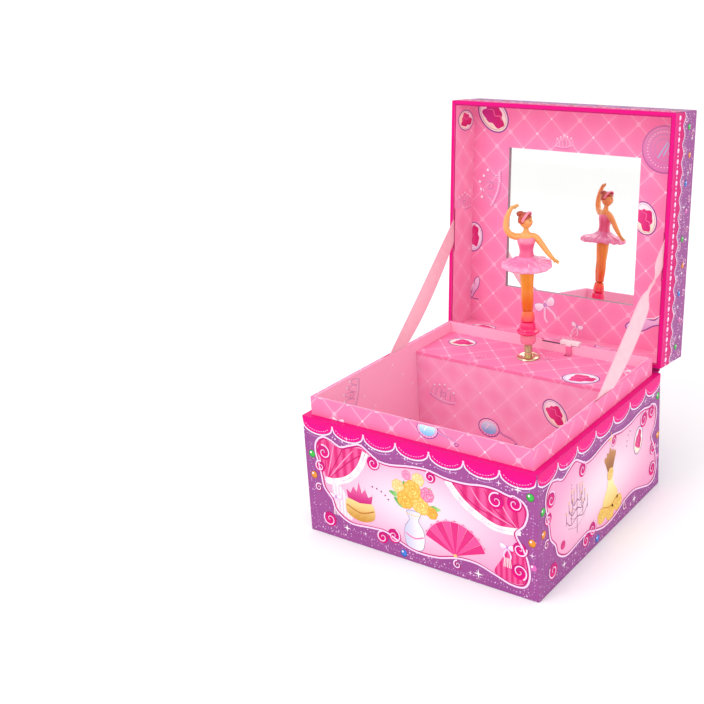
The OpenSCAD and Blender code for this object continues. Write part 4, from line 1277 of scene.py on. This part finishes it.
def leg_ring(z, r, split, bulge=0.0, n=40):
    """Outline of two legs side by side, pressed together."""
    out = []
    for k in range(n):
        t = 2 * pi * k / n
        g = 1 - split * (abs(sin(t)) ** 6)
        out.append((r * cos(t), r * (0.86 + bulge) * sin(t) * g, z))
    return out


# height, radius, depth of the groove between the legs
ankles = ((23.3, 4.2, 0.04), (24.4, 4.35, 0.08), (25.6, 4.1, 0.14), (26.6, 4.2, 0.16), (27.4, 3.9, 0.2),
          (28.4, 3.75, 0.22), (29.4, 3.5, 0.24), (30.5, 3.4, 0.26))
doll("ankles", loft([leg_ring(*r) for r in ankles]), ANK, "clear_pink", "doll_ankles", sub=1)
# the same, and how much thicker from front to back
legs = ((30.3, 3.4, 0.26, 0), (31.5, 3.3, 0.28, 0), (34, 3.45, 0.3, 0.02), (37, 3.75, 0.3, 0.06),
        (40, 3.85, 0.28, 0.08), (43, 3.75, 0.26, 0.04), (45, 3.7, 0.24, 0.05), (47, 3.85, 0.22, 0.08),
        (50, 4.1, 0.2, 0.08), (53, 4.35, 0.16, 0.08), (56, 4.5, 0.1, 0.08), (58.6, 4.5, 0.1, 0.08))
doll("legs", loft([leg_ring(*r) for r in legs]), LEG, "orange_plastic", "doll_legs", sub=1)


def skirt():
    """A stiff tutu, nearly flat: ruffled rim, radial flutes, a short slope up to the waist."""
    n, rings = 240, []
    prof = [(0.30, 58.2, 0, 0), (0.5, 57.9, 0.2, -1), (0.72, 57.6, 0.6, -1), (0.88, 57.4, 0.9, -1),
            (0.965, 57.5, 1, -1),
            (1.0, 58.3, 1, -0.4), (0.995, 59.2, 1, 0.3), (0.955, 60.3, 1, 1), (0.88, 60.9, 0.9, 1),
            (0.76, 61.4, 0.7, 1),
            (0.62, 61.9, 0.5, 1), (0.48, 62.6, 0.25, 1), (0.385, 63.5, 0.08, 1), (0.33, 64.6, 0, 1),
            (0.27, 64.8, 0, 1)]
    for f, z, w, up in prof:
        r = []
        for k in range(n):
            t = 2 * pi * k / n
            lobe = abs(sin(7 * t)) ** 0.8
            rad = 15.5 * f * (1 - 0.11 * w * (1 - lobe))
            wave = 1.35 * w * (lobe - 0.55) * (0.75 + 0.25 * sin(3 * t + 1)) + 0.35 * w * sin(2 * t + 0.4)
            flute = 0.16 * w * sin(28 * t) * (1 if up > 0 else 0.4)
            r.append((rad * cos(t), rad * sin(t), z + wave * (1 if up > 0 else 0.8) + flute))
        rings.append(r)
    return loft(rings)


doll("skirt", skirt(), SKIRT, "skirt_plastic", "doll_skirt", sub=1)


def body_ring(z, rx, ry, cy=0.0, front=0.0, lobes=0.0, n=40):
    """An oval round the body, fuller in front; lobes splits the fullness in two."""
    out = []
    for k in range(n):
        t = 2 * pi * k / n
        x, y = rx * cos(t), ry * sin(t)
        if y < 0:
            y *= 1 + front * (1 + lobes * (abs(cos(t)) ** 0.8 - 0.5))
        out.append((x, y + cy, z))
    return out


# height, half width, half depth, how far back, fullness in front, lobes
bodice = ((62.9, 5.6, 5.2), (63.8, 5.2, 4.8), (65.0, 4.6, 4.1), (66.4, 4.2, 3.6), (67.8, 4.05, 3.4),
          (69.4, 4.25, 3.5, 0, 0.04), (71.3, 4.75, 3.7, 0, 0.16, 0.3), (72.7, 5.2, 3.8, 0, 0.34, 0.8),
          (73.9, 5.4, 3.8, 0.1, 0.42, 1.1), (75.0, 5.3, 3.6, 0.2, 0.3, 1.1), (76.0, 5.1, 3.3, 0.3, 0.14, 0.8),
          (76.2, 4.8, 3.0, 0.3, 0.06, 0.2))
doll("bodice", loft([body_ring(*r) for r in bodice]), BODICE, "pink_plastic", "doll_bodice", sub=1)
chest = ((74.8, 4.6, 2.9, 0.2), (76.2, 4.9, 3.0, 0.3, 0.05), (77.3, 4.8, 2.8, 0.4), (78.3, 3.9, 2.3, 0.4),
         (79.1, 2.4, 1.8, 0.3), (79.9, 1.65, 1.55, 0.1), (81.6, 1.5, 1.45, -0.1), (83.4, 1.6, 1.6, -0.2))
TILT = Matrix.Translation((0.3, -0.4, 81.9)) @ Matrix.Rotation(radians(-6), 4,
                                                               "Y") @ Matrix.Rotation(radians(62), 4, "Z")


def head_mesh():
    """An egg with brow, nose, cheeks and chin, facing -Y before the turn."""
    nu, nv, rings = 40, 26, []
    for i in range(nv):
        ph = pi * (i + 0.5) / nv
        r = []
        for k in range(nu):
            t = 2 * pi * k / nu
            x, y, z = sin(ph) * cos(t), sin(ph) * sin(t), -cos(ph)
            X, Y, Z = 3.55 * x, 4.1 * y, 4.7 * z
            if Z < 0:
                X *= 1 - 0.26 * (-z) ** 1.5
                Y *= 1 - 0.12 * (-z) ** 2
            if y < 0:
                g = lambda a, b, s: math.exp(-((X - a) ** 2 + (Z - b) ** 2) / (2 * s * s))
                Y -= 0.85 * g(0, -0.7, 0.42) + 0.35 * g(0, 0.1,
                                                        0.35) + 0.3 * g(0, -2.1, 0.5) + 0.3 * g(0, -3.7, 0.8)
                Y += 0.32 * (g(1.25, 0.35, 0.55) + g(-1.25, 0.35, 0.55)) + 0.14 * g(0, -2.9, 0.4)
                Y -= 0.2 * (g(1.8, -1.2, 0.9) + g(-1.8, -1.2,
                                                  0.9)) + 0.15 * (g(1.2, 1.2, 0.6) + g(-1.2, 1.2, 0.6))
            r.append(Vector((X, Y, Z + 4.4)))
        rings.append(r)
    v, f = loft(rings)
    return [TILT @ p for p in v], f


def hand(wrist, d, s=1.0, curl=0.0):
    """A mitt with four fingers together and a thumb."""
    d = Vector(d).normalized()
    w = Vector(wrist)
    side = d.cross(Vector((0, 1, 0))).normalized()
    up = d.cross(side)
    parts = [limb([(*w, 0.85 * s), (*(w + d * 1.2), 1.05 * s), (*(w + d * 2.2), 0.95 * s)], 12, 0.6)]
    for k in range(4):
        o = side * (k - 1.5) * 0.48 * s
        a = w + d * 2.0 + o
        b = a + d * (1.3 - 0.12 * abs(k - 1.4)) + up * curl * 0.4
        c = b + d * 0.9 + up * curl
        parts.append(limb([(*a, 0.33 * s), (*b, 0.3 * s), (*c, 0.22 * s)], 8))
    t = w + d * 0.9 - side * 0.8
    parts.append(limb([(*t, 0.32 * s), (*(t + d * 1.0 - side * 0.7), 0.28 * s)], 8))
    return join(*parts)


arm_up = limb([(-4.2, 0.4, 76.6, 2.0), (-6.8, 0.1, 76.9, 2.05), (-9.6, -0.6, 78.6, 1.95),
               (-11.5, -1.0, 81.8, 1.8), (-11.6, -1.2, 86.2, 1.7),
               (-10.3, -1.4, 91.0, 1.45), (-8.2, -1.4, 94.8, 1.1)])
arm_out = limb([(4.2, 0.4, 76.7, 2.0), (6.5, 0.2, 75.2, 2.0), (8.8, -0.6, 72.2, 1.8),
                (11.0, -1.2, 69.0, 1.65), (13.6, -2.0, 65.6, 1.4), (15.6, -2.6, 63.2, 1.1)])
doll("arms", join(arm_up, hand((-8.2, -1.4, 94.8), (0.95, 0, 0.3), 1.0, -0.3), arm_out,
                  hand((15.6, -2.6, 63.2), (0.8, -0.2, -0.55), 1.0, 0.3)),
     SKIN, "skin_plastic", "doll_arms")
doll("head_and_shoulders", join(loft([body_ring(*r) for r in chest]), head_mesh()), SKIN, "skin_plastic",
     "doll_head", sub=1)


def hair():
    """A cap of combed strands with a bun."""
    nu, nv, rings = 72, 18, []
    for i in range(nv):
        ph = pi * 0.60 * (i + 0.2) / nv
        r = []
        for k in range(nu):
            t = 2 * pi * k / nu
            x, y, z = sin(ph) * cos(t), sin(ph) * sin(t), cos(ph)
            lift = 0.10 * sin(t * 18 + z * 6) * sin(ph)
            X, Y, Z = (3.95 + lift) * x, (4.5 + lift) * y, (5.15 + lift) * z
            if y < -0.25:
                cut = (-y - 0.25) * 1.15
                Z = max(Z, 0.9 + cut * 1.5)
            r.append(TILT @ Vector((X, Y + 0.25, Z + 4.5)))
        rings.append(r)
    cap = loft(rings[::-1])
    nb, bun = 48, []
    for i in range(14):
        ph = pi * (i + 0.5) / 14
        bun.append([TILT @ Vector(((2.35 + 0.14 * sin(8 * t + ph * 5)) * sin(ph) * cos(t),
                                   (2.25 + 0.14 * sin(8 * t + ph * 5)) * sin(ph) * sin(t) + 3.0,
                                   -1.5 * cos(ph) + 8.9)) for t in (2 * pi * k / nb for k in range(nb))])
    coil = tube([TILT @ Vector((1.8 * cos(t), 1.7 * sin(t) + 2.9, 8.1))
                 for t in (2 * pi * k / 30 for k in range(31))], [0.5] * 31, 10)
    return join(cap, loft(bun), coil)


doll("hair", hair(), HAIR, "hair_plastic", "doll_hair", sub=1)
# band across the hair, from above one ear over the brow
band = []
for k in range(41):
    t = pi * k / 40
    band.append(TILT @ Vector((4.15 * cos(t), 0.2 - 3.1 * sin(t), 4.9 + 4.75 * sin(t))))
doll("headband", tube(band, [1.05] * 41, 12, 0.4), BAND, "pink_plastic", "doll_headband")


def on_face(pts, lift):
    """Puts (x, z) points of the face onto its front."""
    out = []
    for x, z in pts:
        zz = z - 4.4
        zn = max(-0.999, min(0.999, zz / 4.7))
        w = math.sqrt(max(0.05, 1 - zn * zn))
        sx = 3.55 * w * (1 - 0.26 * (-zn) ** 1.5 if zz < 0 else 1)
        sy = 4.1 * (1 - 0.12 * zn ** 2 if zz < 0 else 1) * w
        y = -sy * math.sqrt(max(0.02, 1 - (x / sx) ** 2))
        out.append(TILT @ Vector((x, y - lift, z)))
    return out


def features():
    """Eyes, brows and lips as thin paint on the face."""
    parts, mats = [], []
    dark, rosy, white, brown = ink((52, 34, 48)), ink((222, 60, 90)), ink((250, 246, 240)), ink((150, 84, 44))
    for s in (-1, 1):
        parts.append((on_face(ring((s * 1.3, 4.65), 0.62, 0.34, 16), -0.13), white))
        parts.append((on_face(ring((s * 1.22, 4.66), 0.28, 0.33, 14), -0.10), dark))
        lid = curve([(s * 0.62, 4.75), (s * 1.3, 5.08), (s * 2.0, 4.82)], 5)
        parts.append((on_face(lid + [(p[0], p[1] + 0.16) for p in lid[::-1]], -0.09), dark))
        brow = curve([(s * 0.6, 5.75), (s * 1.3, 6.0), (s * 2.1, 5.6)], 5)
        parts.append((on_face(brow + [(p[0], p[1] + 0.15) for p in brow[::-1]], 0.16), brown))
    lips = curve([(-0.85, 2.3), (-0.3, 2.52), (0, 2.42), (0.3, 2.52), (0.85, 2.3), (0.3, 1.98), (-0.3, 1.98)],
                 4, True)
    parts.append((on_face(lips, 0.34), rosy))
    verts, faces, idx, ms = [], [], [], []
    for pts, m in parts:
        k = len(verts)
        verts += pts
        for t in tessellate_polygon([[Vector((p.x, p.z, 0)) for p in pts]]):
            faces.append([k + j for j in t])
            if m not in ms:
                ms.append(m)
            idx.append(ms.index(m))
    o = mesh("face_paint", verts, faces, ms[0], "doll", "skin_plastic", False, DM)
    for m in ms[1:]:
        o.data.materials.append(m)
    o.data.polygons.foreach_set("material_index", idx)


features()

# the coil under the doll
def coil():
    """A close-wound spring with a dark core, so that no gap shows through it."""
    turns, R = 16, 2.26
    n = turns * 20
    z0, z1 = 3.95, 12.9
    path = [(R * cos(2 * pi * turns * k / n), R * sin(2 * pi * turns * k / n), z0 + (z1 - z0) * k / n)
            for k in range(n + 1)]
    core = limb([(0, 0, z0 + 0.3, 2.05), (0, 0, (z0 + z1) / 2, 2.05), (0, 0, z1 - 1.4, 2.05)], 20)
    return join(tube(path, [0.285] * (n + 1), 8), core)


sp = mesh("coil_spring", *coil(), NICKEL, None, "brass", True, DM)
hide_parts("fold_spring")
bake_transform(sp)


# ---------- ribbons ----------
def satin(name):
    """Satin ribbon: fine weave, a soft sheen and a firmer edge."""
    n = Nodes(name)
    x, y, _ = n.split(n.new("UVMap").outputs[0])
    weft = n.math("SINE", n.mul(y, 2 * pi * 3.4))
    warp = n.math("SINE", n.mul(x, 2 * pi * 2.4))
    edge = n.step(n.abs(x), 4.1, 4.6)
    c = n.obj()
    f = n.noise(c, 300, 3)
    col = n.mix(f, lin((250, 184, 200)), lin((254, 206, 216)))
    col = n.mix(n.mul(edge, 0.35), col, lin((244, 150, 182)))
    n.set(Base_Color=col, Roughness=0.38, Sheen_Weight=0.5, Sheen_Roughness=0.35, Anisotropic=0.6)
    n.bump(n.add(n.mul(weft, 0.5), n.add(n.mul(warp, 0.3), n.mul(edge, 1.2))), 0.00005, 0.6)
    return n.mat


SATIN = satin("ribbon_satin")
RIB_W, RIB_T, RIB_V = 10.0, 0.3, 66.0
RIB_X_BASE, RIB_X_LID, RIB_TUCK = 70.3, 72.5, 1.6


def ribbon(name, side, twist, sag, out, v, y0):
    """A ribbon from the collar's rim to the lid's rim, with its ends tucked into the seams."""
    a = Vector((side * RIB_X_BASE, y0, NECK_TOP))
    b = Vector((side * RIB_X_LID, HINGE.y - v * cos(OPEN) - RIB_TUCK * sin(OPEN),
                HINGE.z + v * sin(OPEN) - RIB_TUCK * cos(OPEN)))
    d = (b - a).normalized()
    n = 64
    pts, wid = [], []
    across0 = Vector((1, 0, 0)).cross(d).normalized()
    for i in range(-4, n + 4):
        t = i / (n - 1)
        q = min(max(t, 0), 1)
        s = sin(pi * q ** 0.8)
        p = a + (b - a) * t + across0 * (-sag * s) + Vector((side * out * s, 0, 0))
        ang = twist[0] * s + twist[1] * math.exp(-((q - 0.78) / 0.08) ** 2)
        nor = Vector((1, 0, 0)) * cos(ang) + across0 * sin(ang)
        w = d.cross(nor).normalized()
        pts.append(p)
        wid.append((w, nor))
    verts, faces, uvs, k = [], [], [], 10
    run = 0.0
    for i, p in enumerate(pts):
        if i:
            run += (p - pts[i - 1]).length
        w, nor = wid[i]
        for j in range(k + 1):
            u = j / k - 0.5
            cup = 0.35 * (1 - 4 * u * u) * sin(pi * min(max((i - 4) / (n - 1), 0), 1))
            for f in (-0.5, 0.5):
                verts.append(p + w * u * RIB_W + nor * (cup + f * RIB_T))
                uvs.append((u * RIB_W, run))
    m = 2 * (k + 1)
    for i in range(len(pts) - 1):
        for j in range(k):
            o = i * m + 2 * j
            faces.append([o, o + 2, o + m + 2, o + m])
            faces.append([o + 1, o + m + 1, o + m + 3, o + 3])
        o = i * m
        faces.append([o, o + m, o + m + 1, o + 1])
        o = i * m + 2 * k
        faces.append([o, o + 1, o + m + 1, o + m])
    for i, fl in ((0, 1), (len(pts) - 1, 0)):
        for j in range(k):
            o = i * m + 2 * j
            faces.append([o, o + 1, o + 3, o + 2] if fl else [o, o + 2, o + 3, o + 1])
    o = mesh(name, verts, faces, SATIN, None, "ribbon", True)
    lay = o.data.uv_layers.new(name="uv")
    for poly in o.data.polygons:
        for li in poly.loop_indices:
            lay.data[li].uv = uvs[o.data.loops[li].vertex_index]
    md = o.modifiers.new("edge", "EDGE_SPLIT")
    md.split_angle = radians(60)
    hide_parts("ribbon_left" if side < 0 else "ribbon_right")
    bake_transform(o)


ribbon("ribbon_stay_left", -1, (0.34, 0.0), 3.9, 1.2, 67.0, 11.0)
ribbon("ribbon_stay_right", 1, (0.45, -0.9), 5.4, -0.8, 70.5, 8.0)


def slab(xs, ys, zs):
    """A plain block between two values each way."""
    return ([(x, y, z) for x in xs for y in ys for z in zs],
            [[0, 1, 3, 2], [4, 6, 7, 5], [0, 4, 5, 1], [2, 3, 7, 6], [0, 2, 6, 4], [1, 5, 7, 3]])


# dark strip at the bottom of the tongue's notch: painted shade for the shadowed slot
z = STOP_Z - 0.35
mesh("notch_shade_strip", *slab((-1.3, 11.0), (NECK_IN + 0.05, NECK_OUT - 0.05), (z - 0.04, z + 0.06)),
     card("notch_painted_shade", (92, 44, 74)), "base", "grey_card", False)

# lining tabs over the ribbons' ends in the lid
for side, name in ((-1, "left"), (1, "right")):
    tab = slab((side * 71.55, side * 72.0), (HD - RIB_V - 15.5, HD - RIB_V + 13.5),
               (BASE_H + 0.75, BASE_H + 11.6))
    o = mesh("lining_tab_" + name, *tab, Q_LID, "lid", "liner_paper", False, M_OPEN)
    m = o.modifiers.new("edge", "BEVEL")
    m.width, m.segments = 0.12 * MM, 2

# ---------- floor and light ----------
def stage():
    """A white floor, an even white world and three soft lights."""
    n = Nodes("floor_white")
    c = n.obj()
    f = n.noise(c, 8, 2)
    n.set(Base_Color=n.mix(f, (0.965, 0.965, 0.965), (0.98, 0.98, 0.98)), Roughness=0.9,
          Specular_IOR_Level=0.1)
    me = bpy.data.meshes.new("floor")
    k = 6
    me.from_pydata([(-k, -k, -0.0002), (k, -k, -0.0002), (k, k, -0.0002), (-k, k, -0.0002)], [],
                   [[0, 1, 2, 3]])
    me.materials.append(n.mat)
    o = bpy.data.objects.new("floor", me)
    S.collection.objects.link(o)
    w = bpy.data.worlds.new("studio")
    w.use_nodes = True
    bg = w.node_tree.nodes["Background"]
    bg.inputs[0].default_value = (1, 1, 1, 1)
    bg.inputs[1].default_value = 1.05
    S.world = w
    for name, loc, size, power in (("key", (-0.5, -1.2, 1.7), 1.0, 9), ("fill", (1.3, -0.9, 0.9), 1.2, 2.5),
                                   ("top", (0.1, 0.3, 1.9), 1.4, 1.5)):
        d = bpy.data.lights.new(name, "AREA")
        d.energy, d.size = power, size
        o = bpy.data.objects.new(name, d)
        o.location = loc
        o.rotation_euler = (Vector((0, 0, 0.08)) - Vector(loc)).to_track_quat("-Z", "Y").to_euler()
        S.collection.objects.link(o)


stage()
